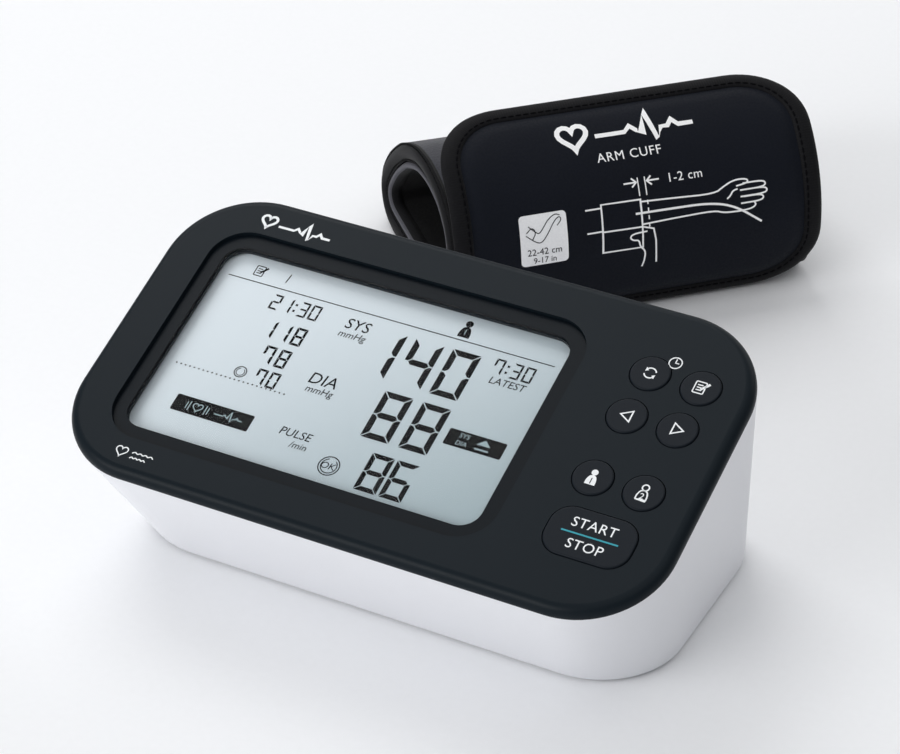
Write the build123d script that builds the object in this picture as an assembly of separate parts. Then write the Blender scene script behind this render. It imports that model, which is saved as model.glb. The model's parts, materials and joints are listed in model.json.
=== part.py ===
from build123d import *
import os
from math import cos, radians, sin, tan

# Upper-arm blood pressure monitor with its cuff rolled up behind it.  Millimetres, +Z up.
# The monitor is a white base with a black sloping cover.  It faces -Y, and +X is its right side.
# Heights above the joint between base and cover are measured square to the sloping face.

# ---------------------------------------------------------------- driving dimensions: monitor
CASE_WIDTH = 191.0
CASE_DEPTH = 99.45
CASE_CORNER = 27.5
FACE_TILT = 20.95
BACK_HEIGHT = 80.6
BASE_HALF_WIDTH = 87.7
BASE_FRONT = -23.95
BASE_BACK = 69.55
BASE_CORNER = 26.5
FOOT_HEIGHT = 0.8
WALL = 2.3
FLOOR = 2.4
COVER_RISE = 3.5
COVER_SKIN = 2.2
COVER_ROUND = 3.0

WINDOW_CENTRE = (-18.95, -0.75)
WINDOW_SIZE = (125.1, 80.1)
WINDOW_CORNER = 12.0
LENS_TOP = 2.1
LENS_BOTTOM = 0.9
LEDGE_TOP = 0.7
LEDGE_BOTTOM = -0.5
VIEW_CENTRE = (-19.2, -1.0)
VIEW_SIZE = (115.6, 70.0)
VIEW_CORNER = 6.5
LCD_SIZE = (120.0, 74.0)
LCD_TOP = -1.5
LCD_BOTTOM = -3.5
FRAME_BOTTOM = -6.5
BOARD_TOP = -13.0
BOARD_THICK = 1.6

BUTTON_TRAVEL = 0.7
BUTTON_RADIUS = 5.95
BUTTON_GAP = 0.25
BUTTON_TOP = 3.9
ROUND_BUTTONS = {
    "button_sync": (64.1, 28.8),
    "button_memory": (79.8, 28.6),
    "button_previous": (63.8, 13.0),
    "button_next": (79.3, 13.1),
    "button_user_1": (63.5, -9.5),
    "button_user_2": (79.0, -9.6),
}
START_CENTRE = (71.0, -27.9)
START_SIZE = (26.2, 16.2)
START_CORNER = 6.4

CASE_SCREWS = [(-83.6, -2.0), (-83.6, 35.0), (51.0, -12.0), (66.0, 43.0)]
CASE_BOSS_RADIUS, CASE_BOSS_TOP = 3.8, 16.0
CASE_COUNTERBORE_RADIUS, CASE_COUNTERBORE_TOP = 3.0, 9.0
CASE_SCREW_RADIUS, CASE_SCREW_TIP = 1.5, 26.0
CASE_SCREW_HEAD_RADIUS, CASE_SCREW_HEAD_BOTTOM = 2.7, 6.8
COVER_BOSS_RADIUS = 2.8
BOARD_SCREWS = [(48.0, 33.0), (48.0, -31.0), (-76.0, 33.0), (-76.0, -33.0)]
BOARD_SCREW_RADIUS, BOARD_SCREW_HEAD_RADIUS = 1.0, 2.0
FEET = [(-70.0, -9.0), (70.0, -9.0), (-70.0, 54.0), (70.0, 54.0)]
FOOT_RADIUS = 4.9
FOOT_SOCKET_DEPTH = 0.8
LIP_INSET, LIP_THICK, LIP_DEPTH = 3.4, 1.0, 3.0

FLANGE_RIM = 1.3
FLANGE_BOTTOM, FLANGE_TOP = -0.4, 0.8
STEM_RADIUS = 2.3
SWITCH_SIZE = 6.0
SWITCH_BODY, SWITCH_TOP = 3.5, 4.0
GUIDE_TOP, GUIDE_BOTTOM = -5.4, -6.8

# ---------------------------------------------------------------- driving dimensions: power and air
CELL_RADIUS = 7.0
CELL_LENGTH = 49.2
CELL_PITCH = 14.5
TRAY_LEFT, TRAY_RIGHT = -66.0, -4.0
TRAY_FRONT, TRAY_BACK = -1.0, 60.0
TRAY_TOP = 21.0
TRAY_WALL = 1.5
COVER_GAP = 0.25
CONTACT_THICK = 0.6
CONTACT_HALF = 5.5
CELL_CAP_RADIUS, CELL_CAP_LENGTH = 2.7, 1.3
SPRING_RADIUS, SPRING_WIRE = 3.6, 0.35

PUMP_Y, PUMP_Z = 36.0, 24.0
PUMP_START = 6.0
MOTOR_RADIUS = 12.1
MOTOR_LENGTH = 30.0
PUMP_HEAD = 27.0
PUMP_HEAD_LENGTH = 20.0
SHAFT_RADIUS = 1.0
SHAFT_CLEARANCE = 0.05
TUBE_OUTER = 2.9
TUBE_INNER = 2.25
NIPPLE = 2.2
VALVE_AT = (78.0, 46.0)
VALVE_RADIUS = 6.0
MANIFOLD_AT = (40.0, 10.0)
AIR_JACK_Y, AIR_JACK_Z = 22.0, 30.0
AIR_JACK_BORE = 4.0
AIR_JACK_DEPTH = 13.0
AIR_JACK_FACE = -92.0
AIR_JACK_RADIUS = 6.5
AIR_WAY = 1.0
DC_JACK_X, DC_JACK_Z = 58.0, 24.0
DC_JACK_HALF = 5.0
DC_JACK_FACE, DC_JACK_END = 64.4, 50.5
DC_BORE, DC_BORE_DEPTH = 3.2, 10.0
DC_PIN = 1.05
SENSOR_U = 34.0

# ---------------------------------------------------------------- driving dimensions: cuff
CUFF_ORIGIN = (-2.5, 165.2)
CUFF_TURN = 45.0
CUFF_WIDTH = 129.6
FLAP_RADIUS = 44.8
FLAP_AXIS = (-38.4, 23.1)
FLAP_START, FLAP_END = -31.0, 80.0
FLAP_CORNER = 24.0
FLAP_THICK = 3.4
HOOK_THICK = 0.8
HOOK_START, HOOK_END = -20.0, 62.0
HOOK_MARGIN = 16.0
PORT_AT = (-60.0, 3.1)
PORT_SIZE, PORT_CORNER, PORT_LENGTH = (14.0, 5.4), 2.0, 5.5
PORT_NIPPLE_LENGTH = 10.0
SEAM_AT, SEAM_SIZE = (-6.0, 0.45), (4.4, 0.9)
SEAM_MARGIN = 20.0
LAYERS = {
    "cuff_outer_cover": (0.0, 1.0),
    "air_bladder": (1.1, 3.6),
    "curl_plate": (3.7, 4.5),
    "cuff_inner_lining": (4.6, 5.8),
    "cuff_inner_turn": (6.3, 9.0),
}
ROLL_ROUND = 12.0
ROLL_CORE = [
    (-73.5, 12), (-13, 12), (-11.6, 20), (-14.4, 30.5), (-20.5, 35.3), (-31, 37), (-42, 35.6),
    (-54, 30.4), (-66, 20.8),
]

# The row's origin is the middle of the whole part's footprint, on the surface it stands on.
ORIGIN = (-6.64, 110.69, 0.0)


def middle_of_face():
    """Height of the joint between base and cover, half way up the slope."""
    return BACK_HEIGHT - tan(radians(FACE_TILT)) * CASE_DEPTH / 2


FACE_LENGTH = CASE_DEPTH / cos(radians(FACE_TILT))
FACE_NORMAL = Vector(0, -sin(radians(FACE_TILT)), cos(radians(FACE_TILT)))
FACE = Plane(origin=(0, 0, middle_of_face()), x_dir=(1, 0, 0), z_dir=FACE_NORMAL)

AXIS_DIR = Vector(cos(radians(CUFF_TURN)), sin(radians(CUFF_TURN)), 0)
FRONT_DIR = Vector(sin(radians(CUFF_TURN)), -cos(radians(CUFF_TURN)), 0)
CUFF = Plane(origin=(*CUFF_ORIGIN, 0), x_dir=FRONT_DIR, z_dir=-AXIS_DIR)


# ---------------------------------------------------------------- small helpers
def on_face(shape, at=(0, 0), height=0.0):
    """Place a shape on the sloping face, at a height above the joint plane."""
    return FACE.location * Pos(at[0], at[1], height) * shape


def plate(size, corner, low, high, at=(0, 0)):
    """A round-cornered plate parallel to the face."""
    outline = RectangleRounded(size[0], size[1], corner)
    return on_face(extrude(outline, high - low), at, low)


def face_rod(radius, low, high, at):
    """A round rod square to the face."""
    return on_face(extrude(Circle(radius), high - low), at, low)


def post(radius, low, high, at):
    """An upright round rod."""
    return Pos(at[0], at[1], low) * extrude(Circle(radius), high - low)


def block(x, y, z):
    """A box between two values on each axis."""
    size = (x[1] - x[0], y[1] - y[0], z[1] - z[0])
    centre = ((x[0] + x[1]) / 2, (y[0] + y[1]) / 2, (z[0] + z[1]) / 2)
    return Pos(*centre) * Box(*size)


def rod_x(radius, x, y, z):
    """A round rod along X."""
    return Location((x[0], y, z), (0, 90, 0)) * extrude(Circle(radius), x[1] - x[0])


def rod_y(radius, x, y, z):
    """A round rod along Y."""
    return Location((x, y[0], z), (-90, 0, 0)) * extrude(Circle(radius), y[1] - y[0])


def group(shapes):
    """Separate solids kept together as one node."""
    solids = []
    for shape in shapes:
        solids.extend(shape.solids())
    return Compound(children=solids)


def coil(radius, wire, height, turns):
    """A round-wire spring standing on the XY plane."""
    path = Helix(pitch=height / turns, height=height, radius=radius)
    start = path @ 0
    section = Plane(origin=start, z_dir=path % 0) * Circle(wire)
    return sweep(section, path)


def tube(points, bends):
    """A soft tube along straight runs joined by arcs."""
    path = FilletPolyline(*points, radius=bends)
    ring = Circle(TUBE_OUTER) - Circle(TUBE_INNER)
    return sweep(Plane(origin=path @ 0, z_dir=path % 0) * ring, path)


# ---------------------------------------------------------------- monitor case
def case_loft(inset, bottom):
    """Solid between the joint plane and a level near the floor, drawn in by an inset."""
    top = FACE.location * RectangleRounded(
        CASE_WIDTH - 2 * inset, FACE_LENGTH - 2 * inset, CASE_CORNER - inset
    )
    depth = BASE_BACK - BASE_FRONT
    foot = Pos(0, (BASE_BACK + BASE_FRONT) / 2, bottom) * RectangleRounded(
        2 * (BASE_HALF_WIDTH - inset), depth - 2 * inset, BASE_CORNER - inset
    )
    return loft([foot, top], ruled=True)


def make_lower_case():
    shell = case_loft(0, FOOT_HEIGHT)
    rim = shell.edges().group_by(Axis.Z)[0]
    shell = fillet(rim, 2.0)
    inside_floor = FOOT_HEIGHT + FLOOR
    shell -= case_loft(WALL, inside_floor)
    for at in CASE_SCREWS:
        shell += post(CASE_BOSS_RADIUS, FOOT_HEIGHT, CASE_BOSS_TOP, at)
    for at in CASE_SCREWS:
        shell -= post(CASE_COUNTERBORE_RADIUS, 0, CASE_COUNTERBORE_TOP, at)
        shell -= post(CASE_SCREW_RADIUS + 0.1, 0, CASE_BOSS_TOP + 0.5, at)
    for at in FEET:
        shell -= post(FOOT_RADIUS + 0.1, 0, FOOT_HEIGHT + FOOT_SOCKET_DEPTH, at)
    shell -= block(
        (TRAY_LEFT + TRAY_WALL, TRAY_RIGHT - TRAY_WALL),
        (TRAY_FRONT + TRAY_WALL, TRAY_BACK - TRAY_WALL),
        (0, inside_floor + 1),
    )
    shell -= rod_x(AIR_JACK_RADIUS, (AIR_JACK_FACE - 8, AIR_JACK_FACE + 12), AIR_JACK_Y, AIR_JACK_Z)
    return shell - power_jack_body(DC_JACK_END + 1.5, DC_JACK_FACE + 10)


def power_jack_body(start, end):
    """The square body of the power jack between two depths."""
    across = (DC_JACK_X - DC_JACK_HALF, DC_JACK_X + DC_JACK_HALF)
    return block(across, (start, end), (DC_JACK_Z - DC_JACK_HALF, DC_JACK_Z + DC_JACK_HALF))


def make_upper_cover():
    size = (CASE_WIDTH, FACE_LENGTH)
    cover = plate(size, CASE_CORNER, 0, COVER_RISE)
    top_edge = cover.faces().sort_by(Axis((0, 0, 0), FACE_NORMAL))[-1].edges()
    cover = fillet(top_edge, COVER_ROUND)
    inner = (size[0] - 2 * WALL, size[1] - 2 * WALL)
    cover -= plate(inner, CASE_CORNER - WALL, -1, COVER_RISE - COVER_SKIN)
    for inset, bottom, top, add in (
        (LIP_INSET, -LIP_DEPTH, COVER_RISE - COVER_SKIN, True),
        (LIP_INSET + LIP_THICK, -LIP_DEPTH - 1, COVER_RISE - COVER_SKIN, False),
    ):
        step = plate((size[0] - 2 * inset, size[1] - 2 * inset), CASE_CORNER - inset, bottom, top)
        cover = cover + step if add else cover - step
    ledge = (WINDOW_SIZE[0] + 4, WINDOW_SIZE[1] + 4)
    cover += plate(ledge, WINDOW_CORNER + 2, LEDGE_BOTTOM, COVER_RISE - COVER_SKIN, WINDOW_CENTRE)
    for at in CASE_SCREWS:
        reach = middle_of_face() + at[1] * tan(radians(FACE_TILT)) + 0.8
        cover += post(COVER_BOSS_RADIUS, CASE_BOSS_TOP + 0.2, reach, at)
    for at in BOARD_SCREWS[:2]:
        cover += face_rod(2.4, BOARD_TOP, COVER_RISE - COVER_SKIN, at)
    cover -= plate(WINDOW_SIZE, WINDOW_CORNER, LEDGE_TOP, COVER_RISE + 1, WINDOW_CENTRE)
    cover -= plate(VIEW_SIZE, VIEW_CORNER, -2, COVER_RISE, VIEW_CENTRE)
    for at in ROUND_BUTTONS.values():
        cover -= face_rod(BUTTON_RADIUS + BUTTON_GAP, -1, COVER_RISE + 1, at)
    start_hole = (START_SIZE[0] + 2 * BUTTON_GAP, START_SIZE[1] + 2 * BUTTON_GAP)
    cover -= plate(start_hole, START_CORNER + BUTTON_GAP, -1, COVER_RISE + 1, START_CENTRE)
    for at in CASE_SCREWS:
        cover -= post(CASE_SCREW_RADIUS, CASE_BOSS_TOP - 6, CASE_SCREW_TIP + 2, at)
    for at in BOARD_SCREWS[:2]:
        cover -= face_rod(BOARD_SCREW_RADIUS, BOARD_TOP - 1, BOARD_TOP + 6, at)
    return cover


def make_feet():
    return group([post(FOOT_RADIUS, 0, FOOT_HEIGHT + FOOT_SOCKET_DEPTH, at) for at in FEET])


def make_case_screws():
    screws = []
    for at in CASE_SCREWS:
        screw = post(CASE_SCREW_HEAD_RADIUS, CASE_SCREW_HEAD_BOTTOM, CASE_COUNTERBORE_TOP, at)
        screw += post(CASE_SCREW_RADIUS, CASE_COUNTERBORE_TOP, CASE_SCREW_TIP, at)
        for slot in ((3.4, 0.7), (0.7, 3.4)):
            screw -= Pos(at[0], at[1], CASE_SCREW_HEAD_BOTTOM) * extrude(Rectangle(*slot), 1.2)
        screws.append(screw)
    return group(screws)


# ---------------------------------------------------------------- display and board
def make_display_nodes():
    lens = plate((WINDOW_SIZE[0] - 0.2, WINDOW_SIZE[1] - 0.2), WINDOW_CORNER - 0.1,
                 LENS_BOTTOM, LENS_TOP, WINDOW_CENTRE)
    gasket = plate((WINDOW_SIZE[0] - 0.4, WINDOW_SIZE[1] - 0.4), WINDOW_CORNER - 0.2,
                   LEDGE_TOP, LENS_BOTTOM, WINDOW_CENTRE)
    gasket -= plate((VIEW_SIZE[0] + 1, VIEW_SIZE[1] + 1), VIEW_CORNER, 0, 2, VIEW_CENTRE)
    centre = (-19.0, -1.0)
    lcd = plate(LCD_SIZE, 1.0, LCD_BOTTOM, LCD_TOP, centre)
    frame = plate((123.0, 78.0), 3.0, FRAME_BOTTOM, LEDGE_BOTTOM - 0.1, centre)
    frame -= plate((LCD_SIZE[0] + 0.4, LCD_SIZE[1] + 0.4), 1.2, LCD_BOTTOM, 0, centre)
    strip = plate((100.0, 2.2), 0.5, BOARD_TOP, LCD_BOTTOM, (-20.0, 34.0))
    frame -= plate((100.8, 3.0), 0.5, FRAME_BOTTOM - 1, LCD_BOTTOM, (-20.0, 34.0))
    for at in BOARD_SCREWS[2:]:
        frame += face_rod(2.6, BOARD_TOP, FRAME_BOTTOM, at)
        frame -= face_rod(1.0, BOARD_TOP - 1, BOARD_TOP + 5, at)
    return {
        "display_lens": lens,
        "lens_gasket": gasket,
        "lcd_panel": lcd,
        "lcd_frame": frame,
        "lcd_connector_strip": strip,
    }


def make_board_nodes():
    low = BOARD_TOP - BOARD_THICK
    board = plate((165.0, 76.0), 5.0, low, BOARD_TOP, (3.5, 1.0))
    for at in CASE_SCREWS[2:]:
        board -= post(3.6, 10, 80, at)
    for at in BOARD_SCREWS:
        board -= face_rod(1.2, low - 1, BOARD_TOP + 1, at)
    screws = []
    for at in BOARD_SCREWS:
        head = face_rod(BOARD_SCREW_HEAD_RADIUS, low - 1.4, low, at)
        screws.append(head + face_rod(BOARD_SCREW_RADIUS, low, BOARD_TOP + 4, at))
    switches = []
    for at in [*ROUND_BUTTONS.values(), START_CENTRE]:
        body = plate((SWITCH_SIZE, SWITCH_SIZE), 0.4, BOARD_TOP, BOARD_TOP + SWITCH_BODY, at)
        switches.append(body + face_rod(1.6, BOARD_TOP + SWITCH_BODY, BOARD_TOP + SWITCH_TOP, at))
    chip = plate((14.0, 14.0), 0.5, low - 1.6, low, (-20.0, 2.0))
    radio = plate((17.0, 12.0), 0.6, low - 2.2, low, (68.0, 22.0))
    parts = [
        face_rod(4.0, low - 9.0, low, (8.0, -22.0)),
        face_rod(4.0, low - 9.0, low, (18.0, -22.0)),
        face_rod(6.0, low - 4.5, low, (-55.0, 18.0)),
        plate((10.0, 4.0), 1.5, low - 3.0, low, (-38.0, 2.0)),
        plate((12.0, 6.0), 0.5, low - 6.0, low, (-60.0, -20.0)),
        plate((9.0, 6.0), 0.5, low - 6.0, low, (-40.0, -20.0)),
    ]
    for column in range(6):
        parts.append(plate((2.0, 1.2), 0.1, low - 0.8, low, (-8.0 + 4.0 * column, 14.0)))
        parts.append(plate((1.2, 2.0), 0.1, low - 0.8, low, (-8.0 + 4.0 * column, -8.0)))
    sensor = plate((10.0, 10.0), 1.0, low - 5.0, low, (SENSOR_U, 0))
    sensor += face_rod(NIPPLE, low - 11.0, low - 5.0, (SENSOR_U, 0))
    sensor -= face_rod(AIR_WAY, low - 12.0, low - 3.0, (SENSOR_U, 0))
    guide = plate((32.0, 73.0), 6.0, GUIDE_BOTTOM, GUIDE_TOP, (72.0, 0.5))
    for at in [*ROUND_BUTTONS.values(), START_CENTRE]:
        guide -= face_rod(STEM_RADIUS + 0.3, GUIDE_BOTTOM - 1, GUIDE_TOP + 1, at)
    for at in [(58.5, 34.0), (85.5, 34.0), (58.5, 2.0), (85.5, 2.0), (57.8, -32.0)]:
        guide += face_rod(1.5, BOARD_TOP, GUIDE_BOTTOM, at)
    return {
        "main_board": board,
        "board_screws": group(screws),
        "tact_switches": group(switches),
        "controller_chip": chip,
        "radio_module": radio,
        "board_components": group(parts),
        "pressure_sensor": sensor,
        "button_guide": guide,
    }


def make_button(at, outline, flange):
    """A cap with a flange under the cover and a stem that presses its switch."""
    stem_end = BOARD_TOP + SWITCH_TOP + BUTTON_TRAVEL + 0.1
    cap = on_face(extrude(outline, BUTTON_TOP - FLANGE_TOP), at, FLANGE_TOP)
    rim = cap.faces().sort_by(Axis((0, 0, 0), FACE_NORMAL))[-1].edges()
    cap = fillet(rim, 0.5)
    cap += on_face(extrude(flange, FLANGE_TOP - FLANGE_BOTTOM), at, FLANGE_BOTTOM)
    return cap + face_rod(STEM_RADIUS, stem_end, FLANGE_BOTTOM, at)


def make_buttons():
    buttons = {}
    for name, at in ROUND_BUTTONS.items():
        buttons[name] = make_button(at, Circle(BUTTON_RADIUS), Circle(BUTTON_RADIUS + FLANGE_RIM))
    width, height = START_SIZE
    buttons["button_start_stop"] = make_button(
        START_CENTRE,
        RectangleRounded(width, height, START_CORNER),
        RectangleRounded(width + 2 * FLANGE_RIM, height + 2 * FLANGE_RIM, START_CORNER + FLANGE_RIM),
    )
    return buttons


# ---------------------------------------------------------------- battery bay
def make_battery_nodes():
    bottom = FOOT_HEIGHT + FLOOR
    tray = block((TRAY_LEFT, TRAY_RIGHT), (TRAY_FRONT, TRAY_BACK), (bottom, TRAY_TOP))
    tray -= block(
        (TRAY_LEFT + TRAY_WALL, TRAY_RIGHT - TRAY_WALL),
        (TRAY_FRONT + TRAY_WALL, TRAY_BACK - TRAY_WALL),
        (bottom - 1, TRAY_TOP - TRAY_WALL),
    )
    middle_y = (TRAY_FRONT + TRAY_BACK) / 2
    cell_z = TRAY_TOP - TRAY_WALL - CELL_RADIUS - 0.3
    inner_left = TRAY_LEFT + TRAY_WALL
    inner_right = TRAY_RIGHT - TRAY_WALL
    spring_room = inner_right - inner_left - 2 * CONTACT_THICK - CELL_LENGTH - CELL_CAP_LENGTH
    cells, springs, contacts = [], [], []
    for index in range(4):
        y = middle_y + (index - 1.5) * CELL_PITCH
        cap_on_left = index % 2 == 0
        if cap_on_left:
            start = inner_left + CONTACT_THICK + CELL_CAP_LENGTH
            cap = (start - CELL_CAP_LENGTH, start)
            spring_x = start + CELL_LENGTH
        else:
            start = inner_left + CONTACT_THICK + spring_room
            cap = (start + CELL_LENGTH, start + CELL_LENGTH + CELL_CAP_LENGTH)
            spring_x = inner_left + CONTACT_THICK
        cell = rod_x(CELL_RADIUS, (start, start + CELL_LENGTH), y, cell_z)
        cells.append(cell + rod_x(CELL_CAP_RADIUS, cap, y, cell_z))
        spring = coil(SPRING_RADIUS, SPRING_WIRE, spring_room - 2 * SPRING_WIRE - 0.2, 4)
        springs.append(Location((spring_x + SPRING_WIRE + 0.1, y, cell_z), (0, 90, 0)) * spring)
        for x in (inner_left, inner_right - CONTACT_THICK):
            contacts.append(block(
                (x, x + CONTACT_THICK),
                (y - CONTACT_HALF, y + CONTACT_HALF),
                (cell_z - CONTACT_HALF, cell_z + CONTACT_HALF),
            ))
    lid_x = (inner_left + COVER_GAP, inner_right - COVER_GAP)
    lid_y = (TRAY_FRONT + TRAY_WALL + COVER_GAP, TRAY_BACK - TRAY_WALL - COVER_GAP)
    lid = block(lid_x, lid_y, (FOOT_HEIGHT, FOOT_HEIGHT + 2.0))
    for step in range(5):
        groove_x = lid_x[1] - 5.0 - 2.4 * step
        lid -= block((groove_x - 1.2, groove_x), (middle_y - 9, middle_y + 9), (0, FOOT_HEIGHT + 0.5))
    return {
        "battery_tray": tray,
        "battery_cells": group(cells),
        "battery_springs": group(springs),
        "battery_contacts": group(contacts),
        "battery_cover": lid,
    }


# ---------------------------------------------------------------- pump, valve and air path
def make_air_nodes():
    motor_end = PUMP_START + MOTOR_LENGTH
    head_end = motor_end + PUMP_HEAD_LENGTH
    motor = rod_x(MOTOR_RADIUS, (PUMP_START, motor_end), PUMP_Y, PUMP_Z)
    motor -= rod_x(SHAFT_RADIUS + SHAFT_CLEARANCE, (motor_end - 10, motor_end + 1), PUMP_Y, PUMP_Z)
    outline = RectangleRounded(PUMP_HEAD, PUMP_HEAD, 5)
    head = Location((motor_end, PUMP_Y, PUMP_Z), (0, 90, 0)) * extrude(outline, PUMP_HEAD_LENGTH)
    head -= rod_x(10.5, (motor_end - 1, motor_end + 10), PUMP_Y, PUMP_Z)
    head += rod_x(NIPPLE, (head_end, head_end + 6), PUMP_Y, PUMP_Z)
    head -= rod_x(1.2, (head_end - 4, head_end + 7), PUMP_Y, PUMP_Z)
    crank = rod_x(SHAFT_RADIUS, (motor_end - 9, motor_end + 3), PUMP_Y, PUMP_Z)
    crank += rod_x(6.0, (motor_end + 3, motor_end + 8), PUMP_Y + 1.2, PUMP_Z)
    cradle_bottom = FOOT_HEIGHT + FLOOR
    cradle = block((PUMP_START + 5, motor_end - 5), (PUMP_Y - 11, PUMP_Y + 11), (cradle_bottom, PUMP_Z - 3))
    cradle -= rod_x(MOTOR_RADIUS, (PUMP_START, motor_end), PUMP_Y, PUMP_Z)
    valve = post(VALVE_RADIUS, cradle_bottom, 26.0, VALVE_AT)
    valve += rod_y(NIPPLE, VALVE_AT[0], (VALVE_AT[1] - VALVE_RADIUS - 5, VALVE_AT[1] - 3), 12.0)
    valve -= post(2.1, 14.0, 27.0, VALVE_AT)
    valve -= rod_y(AIR_WAY, VALVE_AT[0], (VALVE_AT[1] - VALVE_RADIUS - 6, VALVE_AT[1] - 3), 12.0)
    plunger = post(2.1 - SHAFT_CLEARANCE, 16.5, 28.5, VALVE_AT) + post(4.0, 28.5, 30.5, VALVE_AT)
    spring = Pos(VALVE_AT[0], VALVE_AT[1], 26.4) * coil(3.1, 0.3, 1.7, 3)
    x, y = MANIFOLD_AT
    manifold = block((x - 13, x + 13), (y - 5, y + 5), (cradle_bottom, 26))
    ports = [
        ((x + 13, x + 18), 21.0),
        ((x + 13, x + 18), 12.0),
        ((x - 18, x - 13), 16.0),
    ]
    for span, z in ports:
        manifold += rod_x(NIPPLE, span, y, z)
    manifold += post(NIPPLE, 26, 31, (SENSOR_U, y))
    for span, z in ports:
        manifold -= rod_x(AIR_WAY, (span[0] - 1, span[1] + 1), y, z)
    manifold -= post(AIR_WAY, 20, 32, (SENSOR_U, y))
    jack = Part()
    for radius, start, end in (
        (AIR_JACK_RADIUS, 0, 17), (AIR_JACK_RADIUS + 1.9, 7, 9), (NIPPLE, 17, 23),
    ):
        jack += rod_x(radius, (AIR_JACK_FACE + start, AIR_JACK_FACE + end), AIR_JACK_Y, AIR_JACK_Z)
    for radius, start, end in ((AIR_JACK_BORE, -1, AIR_JACK_DEPTH), (AIR_WAY, 0, 24)):
        jack -= rod_x(radius, (AIR_JACK_FACE + start, AIR_JACK_FACE + end), AIR_JACK_Y, AIR_JACK_Z)
    power = power_jack_body(DC_JACK_END, DC_JACK_FACE)
    bore_end = DC_JACK_FACE - DC_BORE_DEPTH
    power -= rod_y(DC_BORE, DC_JACK_X, (bore_end, DC_JACK_FACE + 1), DC_JACK_Z)
    power += rod_y(DC_PIN, DC_JACK_X, (bore_end, DC_JACK_FACE - 1), DC_JACK_Z)
    sensor_tip = FACE.from_local_coords((SENSOR_U, 0, BOARD_TOP - BOARD_THICK - 5.2))
    sensor_end = FACE.from_local_coords((SENSOR_U, 0, BOARD_TOP - BOARD_THICK - 12.0))
    tubes = [
        tube([(head_end + 1, PUMP_Y, PUMP_Z), (66.5, PUMP_Y, PUMP_Z), (67.5, y, 21), (x + 14, y, 21)], 4.4),
        tube([(x + 14, y, 12), (78, y, 12), (78, VALVE_AT[1] - VALVE_RADIUS - 0.5, 12)], 9.0),
        tube([(x - 14, y, 16), (12, y, 16), (0, 13, 27.5), (-50, AIR_JACK_Y, AIR_JACK_Z),
              (AIR_JACK_FACE + 18, AIR_JACK_Y, AIR_JACK_Z)], 12.0),
        tube([(SENSOR_U, y, 27), (SENSOR_U, y, 32), sensor_end, sensor_tip], 1.5),
    ]
    return {
        "pump_motor": motor,
        "pump_head": head,
        "pump_crank": crank,
        "pump_cradle": cradle,
        "exhaust_valve": valve,
        "valve_plunger": plunger,
        "valve_spring": spring,
        "air_manifold": manifold,
        "air_jack": jack,
        "power_jack": power,
        "air_tubes": group(tubes),
    }


# ---------------------------------------------------------------- cuff
def roll_outline(inset):
    """Side view of the rolled sleeve: flat where it lies, highest towards the flap."""
    return offset(make_face(Polyline(*ROLL_CORE, close=True)), ROLL_ROUND - inset)


def along_cuff(outline, start, end):
    """Extrude a side-view outline between two places along the cuff's own axis."""
    return CUFF.location * Pos(0, 0, -end) * extrude(outline, end - start)


def flap_ring(inner, outer, start, end):
    """Side view of a curved strip that wraps the front of the roll."""
    centre = Pos(*FLAP_AXIS)
    arcs = []
    for radius in (inner, outer):
        arcs.append(CenterArc((0, 0), radius, start, end - start))
    low = Line(arcs[0] @ 0, arcs[1] @ 0)
    high = Line(arcs[0] @ 1, arcs[1] @ 1)
    return centre * make_face(arcs[0] + high + arcs[1] + low)


def make_cuff_nodes():
    half = CUFF_WIDTH / 2
    nodes = {}
    for name, (outside, inside) in LAYERS.items():
        ring = roll_outline(outside) - roll_outline(inside)
        trim = 0.0 if name == "cuff_outer_cover" else 1.5
        nodes[name] = along_cuff(ring, -half + trim, half - trim)
    loop_radius = FLAP_RADIUS - FLAP_THICK - HOOK_THICK
    mid = (FLAP_START + FLAP_END) / 2
    chord = 2 * FLAP_RADIUS * sin(radians((FLAP_END - FLAP_START) / 2))
    side_view = flap_ring(FLAP_RADIUS - FLAP_THICK, FLAP_RADIUS, FLAP_START, FLAP_END)
    panel = along_cuff(side_view, -half, half)
    looking = CUFF.location * Location((*FLAP_AXIS, 0), (0, 0, mid)) * Rotation(0, 90, 0)
    silhouette = extrude(RectangleRounded(CUFF_WIDTH, chord + 1.0, FLAP_CORNER), 80)
    nodes["flap_panel"] = panel & (looking * silhouette)
    hook = flap_ring(loop_radius, FLAP_RADIUS - FLAP_THICK, HOOK_START, HOOK_END)
    nodes["hook_patch"] = along_cuff(hook, -half + HOOK_MARGIN, half - HOOK_MARGIN)
    neck = half + PORT_LENGTH
    port = along_cuff(Pos(*PORT_AT) * RectangleRounded(*PORT_SIZE, PORT_CORNER), half, neck)
    port += along_cuff(Pos(*PORT_AT) * Circle(NIPPLE), neck, neck + PORT_NIPPLE_LENGTH)
    port -= along_cuff(Pos(*PORT_AT) * Circle(AIR_WAY), half + 1, neck + PORT_NIPPLE_LENGTH + 1)
    nodes["cuff_air_port"] = port
    seam = Pos(*SEAM_AT) * Rectangle(*SEAM_SIZE)
    nodes["flap_seam_strip"] = along_cuff(seam, -half + SEAM_MARGIN, half - SEAM_MARGIN)
    return nodes


# ---------------------------------------------------------------- build and write
def build():
    nodes = {"lower_case": make_lower_case(), "upper_cover": make_upper_cover()}
    nodes["rubber_feet"] = make_feet()
    nodes["case_screws"] = make_case_screws()
    for maker in (make_display_nodes, make_board_nodes, make_buttons, make_battery_nodes,
                  make_air_nodes, make_cuff_nodes):
        nodes.update(maker())
    return nodes


os.makedirs("parts", exist_ok=True)
shift = Location((-ORIGIN[0], -ORIGIN[1], -ORIGIN[2]))
for node_name, solid in build().items():
    export_step(shift * solid, f"parts/{node_name}.step")
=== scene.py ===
import json
import math

import bpy
from bpy.props import FloatProperty, FloatVectorProperty, PointerProperty
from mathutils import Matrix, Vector, noise


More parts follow.
